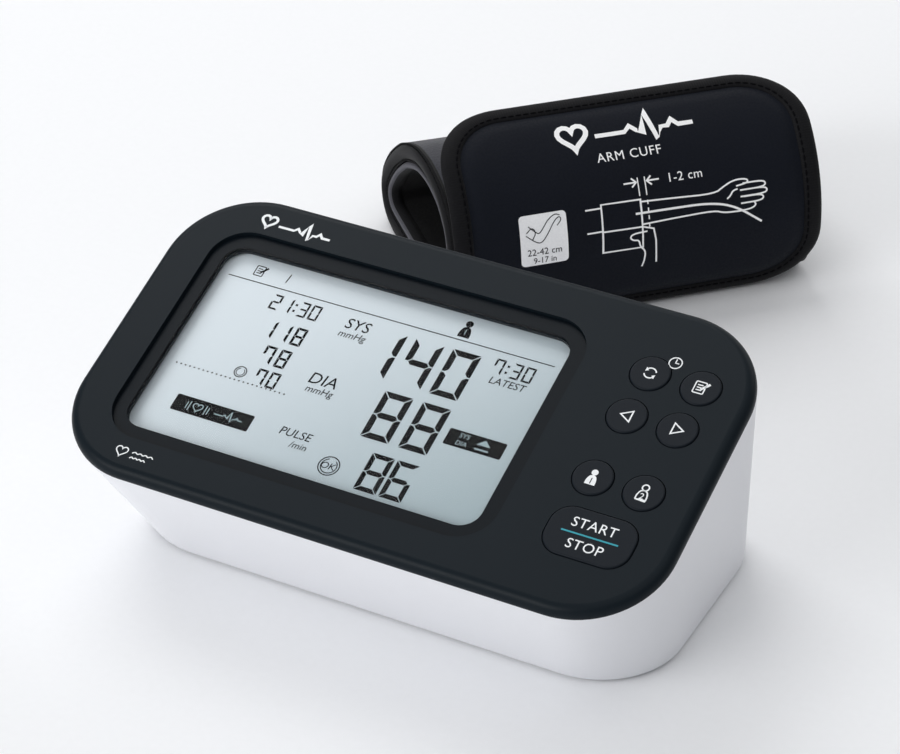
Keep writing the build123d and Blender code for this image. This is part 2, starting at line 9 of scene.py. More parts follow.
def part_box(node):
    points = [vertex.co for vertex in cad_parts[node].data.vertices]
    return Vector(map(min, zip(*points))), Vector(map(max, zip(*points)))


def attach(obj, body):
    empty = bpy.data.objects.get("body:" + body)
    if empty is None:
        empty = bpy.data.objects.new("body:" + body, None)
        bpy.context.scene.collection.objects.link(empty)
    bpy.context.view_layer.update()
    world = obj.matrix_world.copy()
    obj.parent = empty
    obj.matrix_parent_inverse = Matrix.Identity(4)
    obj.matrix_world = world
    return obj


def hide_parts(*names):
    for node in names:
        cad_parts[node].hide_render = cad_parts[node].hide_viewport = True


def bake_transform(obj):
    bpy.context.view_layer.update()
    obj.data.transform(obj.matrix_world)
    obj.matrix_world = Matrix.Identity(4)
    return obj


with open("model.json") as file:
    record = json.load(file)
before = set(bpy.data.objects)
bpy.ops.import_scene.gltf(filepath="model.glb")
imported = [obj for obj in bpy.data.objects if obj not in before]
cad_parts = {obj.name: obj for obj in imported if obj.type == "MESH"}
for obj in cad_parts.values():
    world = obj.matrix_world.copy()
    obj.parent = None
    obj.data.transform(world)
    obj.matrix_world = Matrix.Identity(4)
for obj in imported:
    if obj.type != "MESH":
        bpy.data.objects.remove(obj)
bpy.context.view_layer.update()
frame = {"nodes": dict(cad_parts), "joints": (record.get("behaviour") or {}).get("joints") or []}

bl_info = {
    "name": "Blood Pressure Monitor and Cuff",
    "version": (1, 0, 0),
    "blender": (4, 5, 0),
    "location": "View3D > Sidebar > Monitor",
    "description": "Builds a home blood pressure monitor with its rolled arm cuff",
    "category": "Add Mesh",
}

MM = 0.001


# ---------------------------------------------------------------- places taken from the frame
def middle_of(node):
    low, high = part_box(node)
    return (low + high) / 2


FACE_TILT = math.radians(20.95)
ACROSS = Vector((1, 0, 0))
UPHILL = Vector((0, math.cos(FACE_TILT), math.sin(FACE_TILT)))
OUTWARD = ACROSS.cross(UPHILL)
LENS_PLACE = (-18.95, -0.75, 1.5)
FACE_ORIGIN = middle_of("display_lens") - MM * (
    ACROSS * LENS_PLACE[0] + UPHILL * LENS_PLACE[1] + OUTWARD * LENS_PLACE[2]
)
COVER_TOP = 3.5
BUTTON_TOP = 3.9
LCD_TOP = -1.5

FLAP_JOINT = next(joint for joint in frame["joints"] if joint["name"] == "flap_open")
ALONG = Vector(FLAP_JOINT["axis"]).normalized()
UP = Vector((0, 0, 1))
FRONT = ALONG.cross(UP)
CUFF_ORIGIN = Vector(FLAP_JOINT["pos_m"]) + 0.3 * MM * FRONT - 0.3 * MM * UP
CUFF_HALF = 64.8
FLAP_RADIUS = 44.8
FLAP_AXIS = (-38.4, 23.1)
FLAP_START = math.radians(-31.0)
FLAP_END = math.radians(80.0)
FLAP_LENGTH = FLAP_RADIUS * (FLAP_END - FLAP_START)
FLAP_CORNER = 24.0
FLAP_THICK = 3.4
ROLL_ROUND = 12.0
ROLL_SWELL = 0.6
ROLL_SMOOTHING = 20
ROLL_CORE = [
    (-73.5, 12), (-13, 12), (-11.6, 20), (-14.4, 30.5), (-20.5, 35.3), (-31, 37), (-42, 35.6),
    (-54, 30.4), (-66, 20.8),
]


def on_face(u, v, w):
    """A point of the monitor's sloping face, in metres, from millimetres across, uphill and outward."""
    return FACE_ORIGIN + MM * (ACROSS * u + UPHILL * v + OUTWARD * w)


def in_cuff(a, n, h):
    """A point of the cuff, from millimetres along its axis, towards its front, and up."""
    return CUFF_ORIGIN + MM * (ALONG * a + FRONT * n + UP * h)


def on_flap(s, t, lift):
    """A point on the curved flap, s along the cuff, t up from the flap's lower edge."""
    angle = FLAP_START + t / FLAP_RADIUS
    radius = FLAP_RADIUS + lift
    return in_cuff(s, FLAP_AXIS[0] + radius * math.cos(angle), FLAP_AXIS[1] + radius * math.sin(angle))


# ---------------------------------------------------------------- materials
def screen_colour(red, green, blue):
    """Linear colour with alpha, from screen values between 0 and 255."""
    def linear(value):
        share = value / 255
        return share / 12.92 if share <= 0.04045 else ((share + 0.055) / 1.055) ** 2.4
    return (linear(red), linear(green), linear(blue), 1.0)


class Value:
    """A socket of a material that Python's arithmetic signs work on, by adding Math nodes."""

    def __init__(self, finish, socket):
        self.finish = finish
        self.socket = socket

    def maths(self, operation, *terms):
        return self.finish.node("ShaderNodeMath", {"operation": operation}, dict(enumerate(terms)))

    def __add__(self, other):
        return self.maths("ADD", self, other)

    def __radd__(self, other):
        return self.maths("ADD", other, self)

    def __sub__(self, other):
        return self.maths("SUBTRACT", self, other)

    def __rsub__(self, other):
        return self.maths("SUBTRACT", other, self)

    def __mul__(self, other):
        return self.maths("MULTIPLY", self, other)

    def __rmul__(self, other):
        return self.maths("MULTIPLY", other, self)


class Finish:
    """One procedural material, built around a Principled shader."""

    def __init__(self, name, colour, roughness, **sockets):
        self.material = bpy.data.materials.new(name)
        self.material.use_nodes = True
        self.material.diffuse_color = colour
        self.tree = self.material.node_tree
        self.shader = self.tree.nodes["Principled BSDF"]
        self.set("Base Color", colour)
        self.set("Roughness", roughness)
        for socket, value in sockets.items():
            self.set(socket.replace("_", " ").title().replace("Ior", "IOR"), value)

    def set(self, socket, value):
        self.feed(self.shader.inputs[socket], value)

    def feed(self, socket, value):
        if isinstance(value, Value):
            self.tree.links.new(value.socket, socket)
        else:
            socket.default_value = value

    def node(self, kind, settings=None, inputs=None, out=0):
        """Add a node: its settings first, then its sockets' values or links."""
        node = self.tree.nodes.new(kind)
        for key, value in (settings or {}).items():
            if key == "stops":
                ramp = node.color_ramp
                while len(ramp.elements) < len(value):
                    ramp.elements.new(1.0)
                for element, (position, colour) in zip(ramp.elements, value):
                    element.position = position
                    element.color = colour
            else:
                setattr(node, key, value)
        for key, value in (inputs or {}).items():
            self.feed(node.inputs[key], value)
        return Value(self, node.outputs[out])

    def place(self):
        return self.node("ShaderNodeTexCoord", out="Object")

    def along_surface(self):
        return self.node("ShaderNodeUVMap", {"uv_map": "UVMap"})

    def noise(self, scale, detail=2.0, at=None):
        return self.node("ShaderNodeTexNoise", None, {
            "Vector": at or self.place(), "Scale": scale, "Detail": detail})

    def range(self, value, low, high, to_low=0.0, to_high=1.0):
        return self.node("ShaderNodeMapRange", {"interpolation_type": "SMOOTHSTEP"}, {
            "Value": value, "From Min": low, "From Max": high, "To Min": to_low, "To Max": to_high})

    def mix(self, mask, first, second):
        return self.node("ShaderNodeMix", {"data_type": "RGBA"}, {0: mask, 6: first, 7: second}, out=2)

    def bump(self, height, distance, strength=1.0):
        self.set("Normal", self.node("ShaderNodeBump", None, {
            "Strength": strength, "Distance": distance, "Height": height}))

    def part(self, vector, axis):
        return self.node("ShaderNodeSeparateXYZ", None, {"Vector": vector}, out=axis)


def tint(colour, factor):
    """The same colour, lighter or darker."""
    return tuple(min(1.0, part * factor) for part in colour[:3]) + (1.0,)


def moulded(name, colour, roughness, grain=1800.0, depth=0.02, spread=0.06, shine=0.5):
    """Moulded plastic: fine spark-eroded grain, with a little variation in colour and gloss."""
    finish = Finish(name, colour, roughness, specular_ior_level=shine)
    cloud = finish.noise(35.0, 3.0)
    fine = finish.noise(grain, 3.0)
    finish.set("Base Color", finish.mix(cloud, tint(colour, 1 - spread), tint(colour, 1 + spread)))
    finish.set("Roughness", finish.range(fine, 0.3, 0.7, roughness - 0.05, roughness + 0.06))
    finish.bump(fine, depth * MM, 0.6)
    return finish.material


def rubbery(name, colour, roughness=0.75, shine=0.5):
    """Rubber or foam: matt, with coarse pores, darkened inside them as painted shade."""
    finish = Finish(name, colour, roughness, specular_ior_level=shine)
    pores = finish.noise(900.0, 4.0)
    # Painted shade: darker in the pores, lighter on the ridges between them
    finish.set("Base Color", finish.mix(pores, tint(colour, 0.75), tint(colour, 1.25)))
    finish.bump(pores, 0.08 * MM, 0.5)
    return finish.material


def metallic(name, colour, roughness=0.3, along="X"):
    """Drawn or stamped metal, with fine lines one way and a few dull patches."""
    finish = Finish(name, colour, roughness, metallic=1.0)
    scale = {"X": (60, 2500, 2500), "Y": (2500, 60, 2500), "Z": (2500, 2500, 60)}[along]
    stretched = finish.node("ShaderNodeMapping", None, {"Vector": finish.place(), "Scale": scale})
    lines = finish.noise(1.0, 2.0, stretched)
    dull = finish.noise(120.0, 3.0)
    finish.set("Base Color", finish.mix(dull, tint(colour, 0.85), tint(colour, 1.08)))
    finish.set("Roughness", finish.range(lines, 0.2, 0.8, roughness - 0.08, roughness + 0.15))
    finish.bump(lines, 0.01 * MM, 0.4)
    return finish.material


def woven(name, colour, pitch, depth, fuzz=0.25, sheen=0.05, roughness=0.8, shine=0.12):
    """Plain weave that follows the surface, with uneven threads, painted shade in the gaps between threads
    and painted light on their tops, and slow random changes of tone.
    """
    finish = Finish(
        name, colour, roughness, sheen_weight=sheen, sheen_roughness=0.4, specular_ior_level=shine)
    surface = finish.along_surface()
    wobble = finish.noise(1.0 / (9 * pitch * MM), 2.0, surface)
    waves = []
    for axis in ("X", "Y"):
        phase = finish.part(surface, axis) * (2 * math.pi / (pitch * MM)) + wobble * 3.0
        waves.append(phase.maths("SINE", phase))
    weave = (waves[0] * waves[1]) * 0.5 + 0.5
    slub = finish.noise(1.0 / (2 * pitch * MM), 3.0, surface)
    height = weave * (1 - fuzz) + slub * fuzz
    shade = finish.noise(28.0, 3.0, surface)
    # Painted shade and light: darker between the threads, lighter on their tops; the slub adds random tone
    painted_relief_shade = finish.mix(weave * 0.5 + slub * 0.5, tint(colour, 0.7), tint(colour, 1.35))
    finish.set("Base Color", finish.mix(finish.range(shade, 0.35, 0.65, 0.0, 0.35), painted_relief_shade, tint(colour, 0.75)))
    finish.set("Roughness", finish.range(slub, 0.3, 0.7, roughness - 0.1, roughness + 0.08))
    finish.bump(height, depth * MM, 0.8)
    return finish.material


def brushed_loop(name, colour):
    """Soft loop pile: short tangled fibres with painted shade between them, and a painted sheen in patches
    where the nap lies towards the light.
    """
    finish = Finish(
        name, colour, 0.92, sheen_weight=0.18, sheen_roughness=0.5, specular_ior_level=0.2)
    surface = finish.along_surface()
    tangle = finish.noise(1500.0, 5.0, surface)
    tufts = finish.node("ShaderNodeTexVoronoi", None, {"Vector": surface, "Scale": 1100.0})
    nap_painted_sheen = finish.noise(60.0, 3.0, surface)
    pile = tangle * 0.6 + tufts * 0.4
    # Painted shade in the pile's hollows and painted light on its tufts
    painted_relief_shade = finish.mix(pile, tint(colour, 0.55), tint(colour, 1.5))
    # Painted sheen: lighter patches where the nap would catch the light
    finish.set("Base Color", finish.mix(finish.range(nap_painted_sheen, 0.35, 0.65, 0.0, 0.4), painted_relief_shade, tint(colour, 1.25)))
    finish.bump(pile, 0.35 * MM, 0.8)
    return finish.material


def ribbed_tape(name, colour):
    """Binding tape: close ribs across the tape, with painted shade in the grooves between ribs."""
    finish = Finish(
        name, colour, 0.7, sheen_weight=0.05, sheen_roughness=0.4, specular_ior_level=0.15)
    surface = finish.along_surface()
    rib = finish.part(surface, "X") * (2 * math.pi / (0.9 * MM))
    ribs = rib.maths("SINE", rib) * 0.5 + 0.5
    fray = finish.noise(900.0, 3.0, surface)
    height = ribs * 0.7 + fray * 0.3
    # Painted shade: darker in the grooves, lighter on the ribs, with a little random fray tone
    finish.set("Base Color", finish.mix(height, tint(colour, 0.7), tint(colour, 1.4)))
    finish.bump(height, 0.07 * MM, 0.6)
    return finish.material


def reflector_with_painted_light(name, light, dark):
    """Pale reflective film behind the display's figures, with painted light at the top left fading to
    painted shade at the lower right.
    """
    finish = Finish(name, light, 0.32)
    across = finish.part(finish.place(), "X") * (1 / 0.12)
    depth = finish.part(finish.place(), "Y") * (1 / 0.075)
    painted_shade_diagonal = across - depth * 0.75
    start = (FACE_ORIGIN.x - 0.07) / 0.12 - 0.75 * (FACE_ORIGIN.y + 0.03) / 0.075
    film = finish.noise(2500.0, 2.0)
    # Painted light and shade: the film runs from the lit colour at the upper left to the shaded colour at
    # the lower right
    mask = finish.range(painted_shade_diagonal, start, start + 1.75)
    finish.set("Base Color", finish.mix(mask * 0.94 + film * 0.06, light, dark))
    finish.bump(film, 0.004 * MM, 0.3)
    return finish.material


def printed_ink(name, colour, roughness=0.55, shine=0.3):
    """Screen-printed ink, a little uneven in cover."""
    finish = Finish(name, colour, roughness, specular_ior_level=shine)
    cover = finish.noise(1400.0, 3.0)
    finish.set("Base Color", finish.mix(cover, tint(colour, 0.88), tint(colour, 1.08)))
    finish.bump(cover, 0.01 * MM, 0.3)
    return finish.material


def board_lacquer(name, colour):
    """Circuit board: copper tracks under green lacquer, as a grid of fine lines."""
    finish = Finish(name, colour, 0.35, coat_weight=0.4)
    place = finish.place()
    across = finish.part(place, "X") * (2 * math.pi / (2.2 * MM))
    along = finish.part(place, "Y") * (2 * math.pi / (1.7 * MM))
    switch = finish.range(finish.noise(180.0, 0.0), 0.48, 0.52)
    tracks = across.maths("SINE", across) * switch + along.maths("SINE", along) * (1 - switch)
    raised = finish.range(tracks, 0.2, 0.5)
    finish.set("Base Color", finish.mix(raised, tint(colour, 0.6), tint(colour, 1.6)))
    finish.bump(raised, 0.03 * MM, 0.5)
    return finish.material


def clear_plastic(name, tint_colour):
    """Clear hard-coated window with a faint haze."""
    finish = Finish(name, tint_colour, 0.05, alpha=0.06)
    haze = finish.noise(300.0, 2.0)
    finish.set("Roughness", finish.range(haze, 0.3, 0.7, 0.03, 0.08))
    return finish.material


# ---------------------------------------------------------------- mesh helpers
def deselect():
    bpy.ops.object.select_all(action="DESELECT")


def choose(piece):
    deselect()
    piece.select_set(True)
    bpy.context.view_layer.objects.active = piece


def modify(piece, kind, **settings):
    """Add a modifier and apply it."""
    choose(piece)
    modifier = piece.modifiers.new(kind.title(), kind)
    for key, value in settings.items():
        setattr(modifier, key, value)
    bpy.ops.object.modifier_apply(modifier=modifier.name)


def new_piece(name, points, faces, material):
    mesh = bpy.data.meshes.new(name)
    mesh.from_pydata([tuple(point) for point in points], [], faces)
    mesh.update()
    piece = bpy.data.objects.new(name, mesh)
    bpy.context.scene.collection.objects.link(piece)
    mesh.materials.append(material)
    return piece


def loft(name, rows, u, v, material, wrap_rows=False, wrap_columns=False):
    """A smooth sheet through rows of points, with its UV map in metres along its rows and columns."""
    height, width = len(rows), len(rows[0])
    faces, corners = [], []
    for i in range(height if wrap_rows else height - 1):
        for j in range(width if wrap_columns else width - 1):
            k, m = (i + 1) % height, (j + 1) % width
            faces.append((i * width + j, k * width + j, k * width + m, i * width + m))
            corners += [(u[i], v[j]), (u[i + 1], v[j]), (u[i + 1], v[j + 1]), (u[i], v[j + 1])]
    piece = new_piece(name, [point for row in rows for point in row], faces, material)
    layer = piece.data.uv_layers.new(name="UVMap")
    for loop, corner in zip(layer.data, corners):
        loop.uv = corner
    smooth_outwards(piece)
    return piece


def smooth_outwards(piece):
    """Point a closed piece's faces outwards and shade it smooth."""
    choose(piece)
    bpy.ops.object.mode_set(mode="EDIT")
    bpy.ops.mesh.select_all(action="SELECT")
    bpy.ops.mesh.normals_make_consistent(inside=False)
    bpy.ops.object.mode_set(mode="OBJECT")
    bpy.ops.object.shade_smooth()


# ---------------------------------------------------------------- flat marks and display figures
def arc(centre, radius, start, end, steps=16):
    """Points along a round arc, angles in degrees."""
    turns = [math.radians(start + (end - start) * k / steps) for k in range(steps + 1)]
    return [(centre[0] + radius * math.cos(a), centre[1] + radius * math.sin(a)) for a in turns]


def disc(centre, radius, steps=24):
    return arc(centre, radius, 0, 360 * (steps - 1) / steps, steps - 1)


def rounded_box(centre, size, corner, steps=5):
    x, y = size[0] / 2 - corner, size[1] / 2 - corner
    points = []
    for start, sx, sy in ((0, x, y), (90, -x, y), (180, -x, -y), (270, x, -y)):
        points += arc((centre[0] + sx, centre[1] + sy), corner, start, start + 90, steps)
    return points


def stroke(points, width, closed=False):
    """Quads that follow a line at a constant width, mitred at its corners."""
    count = len(points)
    sides = []
    for k in range(count):
        here = Vector(points[k])
        before = Vector(points[k - 1]) if closed or k else here
        after = Vector(points[(k + 1) % count]) if closed or k < count - 1 else here
        run = (after - before).normalized()
        arriving = (here - before).normalized() if here != before else run
        shift = Vector((-run.y, run.x)) * width / 2 / max(0.5, abs(arriving.dot(run)))
        sides.append((here + shift, here - shift))
    quads = []
    for k in range(count if closed else count - 1):
        a, b = sides[k], sides[(k + 1) % count]
        quads.append([a[1], b[1], b[0], a[0]])
    return quads


def rounded_line(points, rounds=2):
    """Cut a line's corners until it is smooth, keeping its ends."""
    for _ in range(rounds):
        cut = [points[0]]
        for a, b in zip(points, points[1:]):
            cut.append((a[0] * 0.75 + b[0] * 0.25, a[1] * 0.75 + b[1] * 0.25))
            cut.append((a[0] * 0.25 + b[0] * 0.75, a[1] * 0.25 + b[1] * 0.75))
        points = cut + [points[-1]]
    return points


def words(text, height, at, align="CENTER", spacing=1.0, slant=0.0, stretch=1.0):
    """The faces of a word in Blender's own plain typeface, centred on a height, in millimetres."""
    deselect()
    bpy.ops.object.text_add(location=(0, 0, 0))
    letters = bpy.context.object
    letters.data.body = text
    letters.data.size = height / 0.69
    letters.data.resolution_u = 3
    letters.data.align_x = align
    letters.data.space_character = spacing
    bpy.ops.object.convert(target="MESH")
    polygons = []
    for face in letters.data.polygons:
        corners = [letters.data.vertices[k].co for k in face.vertices]
        polygons.append([
            (at[0] + stretch * c.x + slant * (c.y - height / 2), at[1] + c.y - height / 2)
            for c in corners
        ])
    bpy.data.objects.remove(letters)
    return polygons


def counter_clockwise(polygon):
    area = sum(a[0] * b[1] - b[0] * a[1] for a, b in zip(polygon, polygon[1:] + polygon[:1]))
    return polygon if area > 0 else polygon[::-1]


def marks(name, polygons, mapping, lift, thickness, material, cell=None):
    """Thin solid marks laid on a surface by its mapping, cut into cells where the surface curves."""
    points, faces = [], []
    for polygon in polygons:
        outline = counter_clockwise([tuple(point) for point in polygon])
        faces.append(list(range(len(points), len(points) + len(outline))))
        points += [(x, y, 0) for x, y in outline]
    piece = new_piece(name, points, faces, material)
    choose(piece)
    bpy.ops.object.mode_set(mode="EDIT")
    bpy.ops.mesh.select_all(action="SELECT")
    bpy.ops.mesh.remove_doubles(threshold=1e-4)
    if cell:
        for axis in (0, 1):
            values = [point[axis] for point in points]
            direction = (1, 0, 0) if axis == 0 else (0, 1, 0)
            for step in range(1, math.ceil((max(values) - min(values)) / cell)):
                level = min(values) + step * cell
                bpy.ops.mesh.select_all(action="SELECT")
                place = (level * direction[0], level * direction[1], 0)
                bpy.ops.mesh.bisect(plane_co=place, plane_no=direction)
    bpy.ops.object.mode_set(mode="OBJECT")
    modify(piece, "SOLIDIFY", thickness=thickness, offset=1.0)
    for vertex in piece.data.vertices:
        vertex.co = mapping(vertex.co.x, vertex.co.y, lift + vertex.co.z)
    return piece


SEGMENTS_LIT = {
    "0": "abcdef", "1": "bc", "3": "abgcd", "4": "fgbc", "2": "abged", "6": "afgecd", "7": "abcf",
    "8": "abcdefg",
}


def segment_shapes(height, width, bar, gap):
    """The seven bars of a figure with mitred ends, lower left corner at the origin."""
    h, w, s, g, m = height, width, bar, gap, height / 2
    return {
        "a": [(g, h), (s + g, h - s), (w - s - g, h - s), (w - g, h)],
        "d": [(g, 0), (w - g, 0), (w - s - g, s), (s + g, s)],
        "g": [(s / 2 + g, m), (s + g, m - s / 2), (w - s - g, m - s / 2), (w - s / 2 - g, m),
              (w - s - g, m + s / 2), (s + g, m + s / 2)],
        "f": [(0, h - g), (0, m + g), (s / 2, m + g), (s, m + g + s / 2), (s, h - s - g)],
        "e": [(0, g), (s, s + g), (s, m - g - s / 2), (s / 2, m - g), (0, m - g)],
        "b": [(w, h - g), (w - s, h - s - g), (w - s, m + g + s / 2), (w - s / 2, m + g), (w, m + g)],
        "c": [(w, g), (w, m - g), (w - s / 2, m - g), (w - s, m - g - s / 2), (w - s, s + g)],
    }


def figures(text, height, middle, pitch, level, lean=0.0, weight=0.118, width=0.545):
    """Seven-bar figures centred on a place; a colon takes a third of a figure."""
    steps = [pitch * (0.42 if character == ":" else 1.0) for character in text]
    shapes = segment_shapes(height, width * height, weight * height, 0.014 * height)
    left = middle - sum(steps) / 2
    polygons = []
    for character, step in zip(text, steps):
        margin = (step - width * height) / 2
        if character == ":":
            drawn = [rounded_box((step / 2 - margin, share * height), (0.13 * height,) * 2, 0.02, 1)
                     for share in (0.27, 0.68)]
        else:
            drawn = [shapes[bar] for bar in SEGMENTS_LIT[character]]
        for outline in drawn:
            polygons.append([
                (left + margin + x + lean * (y - height / 2), level + y - height / 2) for x, y in outline
            ])
        left += step
    return polygons


def heart(centre, size, steps=28):
    """Outline of a heart, as a list of points."""
    points = []
    for k in range(steps):
        a = 2 * math.pi * k / steps
        x = 16 * math.sin(a) ** 3
        y = 13 * math.cos(a) - 5 * math.cos(2 * a) - 2 * math.cos(3 * a) - math.cos(4 * a)
        points.append((centre[0] + x * size / 32, centre[1] + (y + 2.5) * size / 32))
    return points


def pulse_line(left, level, length, height):
    """A heartbeat trace: flat, up, down, up, flat."""
    shape = [(0, 0), (0.3, 0), (0.36, 0.18), (0.42, 0), (0.47, -0.14), (0.54, 0.62), (0.61, -0.38),
             (0.67, 0), (0.74, 0), (0.79, 0.2), (0.85, 0), (1, 0)]
    return [(left + x * length, level + y * height) for x, y in shape]


def person(centre, height):
    """A head disc and shoulders, as two filled outlines."""
    x, y = centre
    h = height
    head = disc((x, y + 0.31 * h), 0.19 * h, 20)
    body = rounded_line([
        (x - 0.3 * h, y - 0.5 * h), (x - 0.3 * h, y - 0.2 * h), (x - 0.17 * h, y + 0.12 * h),
        (x + 0.17 * h, y + 0.12 * h), (x + 0.3 * h, y - 0.2 * h), (x + 0.3 * h, y - 0.5 * h),
    ], 2)
    return head, body


def ring(centre, radius, width, start=0, end=360, steps=28):
    whole = abs(end - start) >= 360
    line = disc(centre, radius, steps) if whole else arc(centre, radius, start, end, steps)
    return stroke(line, width, closed=whole)


def notepad(centre, size, width):
    """A sheet with written lines and a pencil across its corner."""
    x, y = centre
    s = size
    sheet = stroke(rounded_box((x - 0.08 * s, y), (0.72 * s, 0.9 * s), 0.06 * s, 2), width, closed=True)
    for level in (0.2, 0.0, -0.2):
        sheet += stroke([(x - 0.28 * s, y + level * s), (x + 0.1 * s, y + level * s)], width)
    sheet += stroke([(x + 0.02 * s, y - 0.14 * s), (x + 0.5 * s, y + 0.42 * s)], width * 2.2)
    return sheet


def two_arrows(centre, radius, width):
    """Two arrows chasing round a ring: send and receive."""
    polygons = []
    for start in (20, 200):
        polygons += ring(centre, radius, width, start, start + 115, 10)
        tip = math.radians(start + 150)
        root = math.radians(start + 112)
        corners = [(centre[0] + radius * math.cos(tip), centre[1] + radius * math.sin(tip))]
        for reach in (radius + 1.6 * width, radius - 1.6 * width):
            corners.append((centre[0] + reach * math.cos(root), centre[1] + reach * math.sin(root)))
        polygons.append(corners)
    return polygons


# ---------------------------------------------------------------- shapes of the rolled cuff
def offset_line(corners, distance):
    """A convex outline moved outwards, with round corners."""
    points = []
    count = len(corners)
    for k in range(count):
        here = Vector(corners[k])
        turns = []
        for a, b in ((corners[k - 1], corners[k]), (corners[k], corners[(k + 1) % count])):
            run = Vector(b) - Vector(a)
            turns.append(math.atan2(-run.x, run.y))
        while turns[1] < turns[0]:
            turns[1] += 2 * math.pi
        steps = max(1, round((turns[1] - turns[0]) / 0.1))
        for step in range(steps + 1):
            angle = turns[0] + (turns[1] - turns[0]) * step / steps
            points.append(here + distance * Vector((math.cos(angle), math.sin(angle))))
    return points


def even_line(points, count):
    """The same closed outline with evenly spaced points."""
    reach = [0.0]
    for a, b in zip(points, points[1:] + points[:1]):
        reach.append(reach[-1] + (b - a).length)
    spaced, k = [], 0
    for step in range(count):
        target = reach[-1] * step / count
        while reach[k + 1] < target:
            k += 1
        share = (target - reach[k]) / max(1e-9, reach[k + 1] - reach[k])
        spaced.append(points[k].lerp(points[(k + 1) % len(points)], share))
    return spaced


def roll_stations(count=180):
    """Places around the roll: point, direction outwards and distance along it."""
    line = even_line(offset_line(ROLL_CORE, ROLL_ROUND + ROLL_SWELL), count)
    for _ in range(ROLL_SMOOTHING):
        line = [(line[k - 1] + 2 * line[k] + line[(k + 1) % count]) / 4 for k in range(count)]
    floor = min(point.y for point in line)
    stations, travelled = [], 0.0
    for k in range(count):
        run = line[(k + 1) % count] - line[k - 1]
        stations.append((line[k] - Vector((0, floor)), Vector((run.y, -run.x)).normalized(), travelled))
        travelled += (line[(k + 1) % count] - line[k]).length
    return stations, travelled


def swell(x, y, grain, height):
    """A slow unevenness of cloth."""
    return height * noise.noise(Vector((x / grain, y / grain, 3.7)))


def sleeve_turn(name, outside, inside, half, edge, material, ripple=0.25):
    """One closed turn of padded cloth around the roll, with rounded edges at its two ends."""
    stations, length = roll_stations()
    section = []
    middle = (outside + inside) / 2
    thick = (inside - outside) / 2
    span = half - edge
    for k in range(41):
        a = span * (k / 20 - 1)
        section.append((a, outside, 1.0))
    for k in range(1, 8):
        angle = math.radians(90 - 180 * k / 8)
        section.append((span + edge * math.cos(angle), middle - thick * math.sin(angle), 0.0))
    for k in range(41):
        a = span * (1 - k / 20)
        section.append((a, inside, 0.0))
    for k in range(1, 8):
        angle = math.radians(-90 - 180 * k / 8)
        section.append((-span + edge * math.cos(angle), middle - thick * math.sin(angle), 0.0))
    rows = []
    for point, outwards, travelled in stations:
        row = []
        for a, depth, free in section:
            fade = max(0.0, 1 - (a / span) ** 6) * free if abs(a) < span else 0.0
            lying = min(1.0, max(0.0, (point.y - 3) / 8))
            sunk = depth - fade * lying * (swell(a, travelled, 19, ripple) - ripple * 0.6)
            place = point - outwards * sunk
            row.append(in_cuff(a, place.x, place.y))
        rows.append(row)
    u = [station[2] * MM for station in stations] + [length * MM]
    v, reach = [0.0], 0.0
    for before, after in zip(section, section[1:] + section[:1]):
        reach += math.hypot(after[0] - before[0], after[1] - before[1])
        v.append(reach * MM)
    return loft(name, rows, u, v, material, wrap_rows=True, wrap_columns=True)


def end_binding(name, side, outside, inside, half, reach, thick, material):
    """Tape folded over one end of a turn of cloth."""
    stations, length = roll_stations()
    middle = (outside + inside) / 2
    outer = []
    inner = []
    cloth = (inside - outside) / 2
    for half_thick, cover, section in (
        (cloth + thick, half, outer),
        (cloth - 0.1, half - 1.2 * thick, inner),
    ):
        round_off = min(half_thick, 3.0)
        section.append((half - reach, middle - half_thick))
        section.append((half - reach * 0.55, middle - half_thick - (0.18 if section is outer else 0)))
        for k in range(11):
            angle = math.radians(90 - 180 * k / 10)
            end = cover - round_off + round_off * math.cos(angle)
            section.append((end, middle - half_thick * math.sin(angle)))
        section.append((half - reach * 0.55, middle + half_thick + (0.18 if section is outer else 0)))
        section.append((half - reach, middle + half_thick))
    section = outer + inner[::-1]
    rows = []
    for point, outwards, travelled in stations:
        row = []
        for a, depth in section:
            place = point - outwards * depth
            row.append(in_cuff(side * a, place.x, max(place.y, 0.0)))
        rows.append(row)
    u = [station[2] * MM for station in stations] + [length * MM]
    v, travelled = [0.0], 0.0
    for before, after in zip(section, section[1:] + section[:1]):
        travelled += math.hypot(after[0] - before[0], after[1] - before[1])
        v.append(travelled * MM)
    return loft(name, rows, u, v, material, wrap_rows=True, wrap_columns=True)


def flap_edge_distance(s, t):
    """How far a place on the flap lies inside its outline."""
    x = abs(s) - (CUFF_HALF - FLAP_CORNER)
    y = abs(t - FLAP_LENGTH / 2) - (FLAP_LENGTH / 2 - FLAP_CORNER)
    outside = math.hypot(max(x, 0), max(y, 0))
    return FLAP_CORNER - outside - min(max(x, y), 0)


def ease(value, low, high):
    share = min(1.0, max(0.0, (value - low) / (high - low)))
    return share * share * (3 - 2 * share)


SEAM_INSET = 6.4


def flap_front(s, t):
    """Height of the flap's front cloth over its outer surface: a soft panel inside a sewn seam."""
    inset = flap_edge_distance(s, t)
    panel = ease(inset, SEAM_INSET, SEAM_INSET + 4.5)
    soft = swell(s, t, 17, 0.35) * ease(inset, 8, 20)
    return -0.95 + 0.95 * panel + soft - 0.2


def flap_back(s, t):
    inset = flap_edge_distance(s, t)
    return -FLAP_THICK + 0.75 * (1 - ease(inset, SEAM_INSET, SEAM_INSET + 4.5))


def round_corner(x, y):
    """Square corner to round corner, point by point."""
    if x <= 0 or y <= 0:
        return x, y
    if x > y:
        angle = math.pi / 4 * y / x
        return x * math.cos(angle), x * math.sin(angle)
    angle = math.pi / 2 - math.pi / 4 * x / y
    return y * math.cos(angle), y * math.sin(angle)


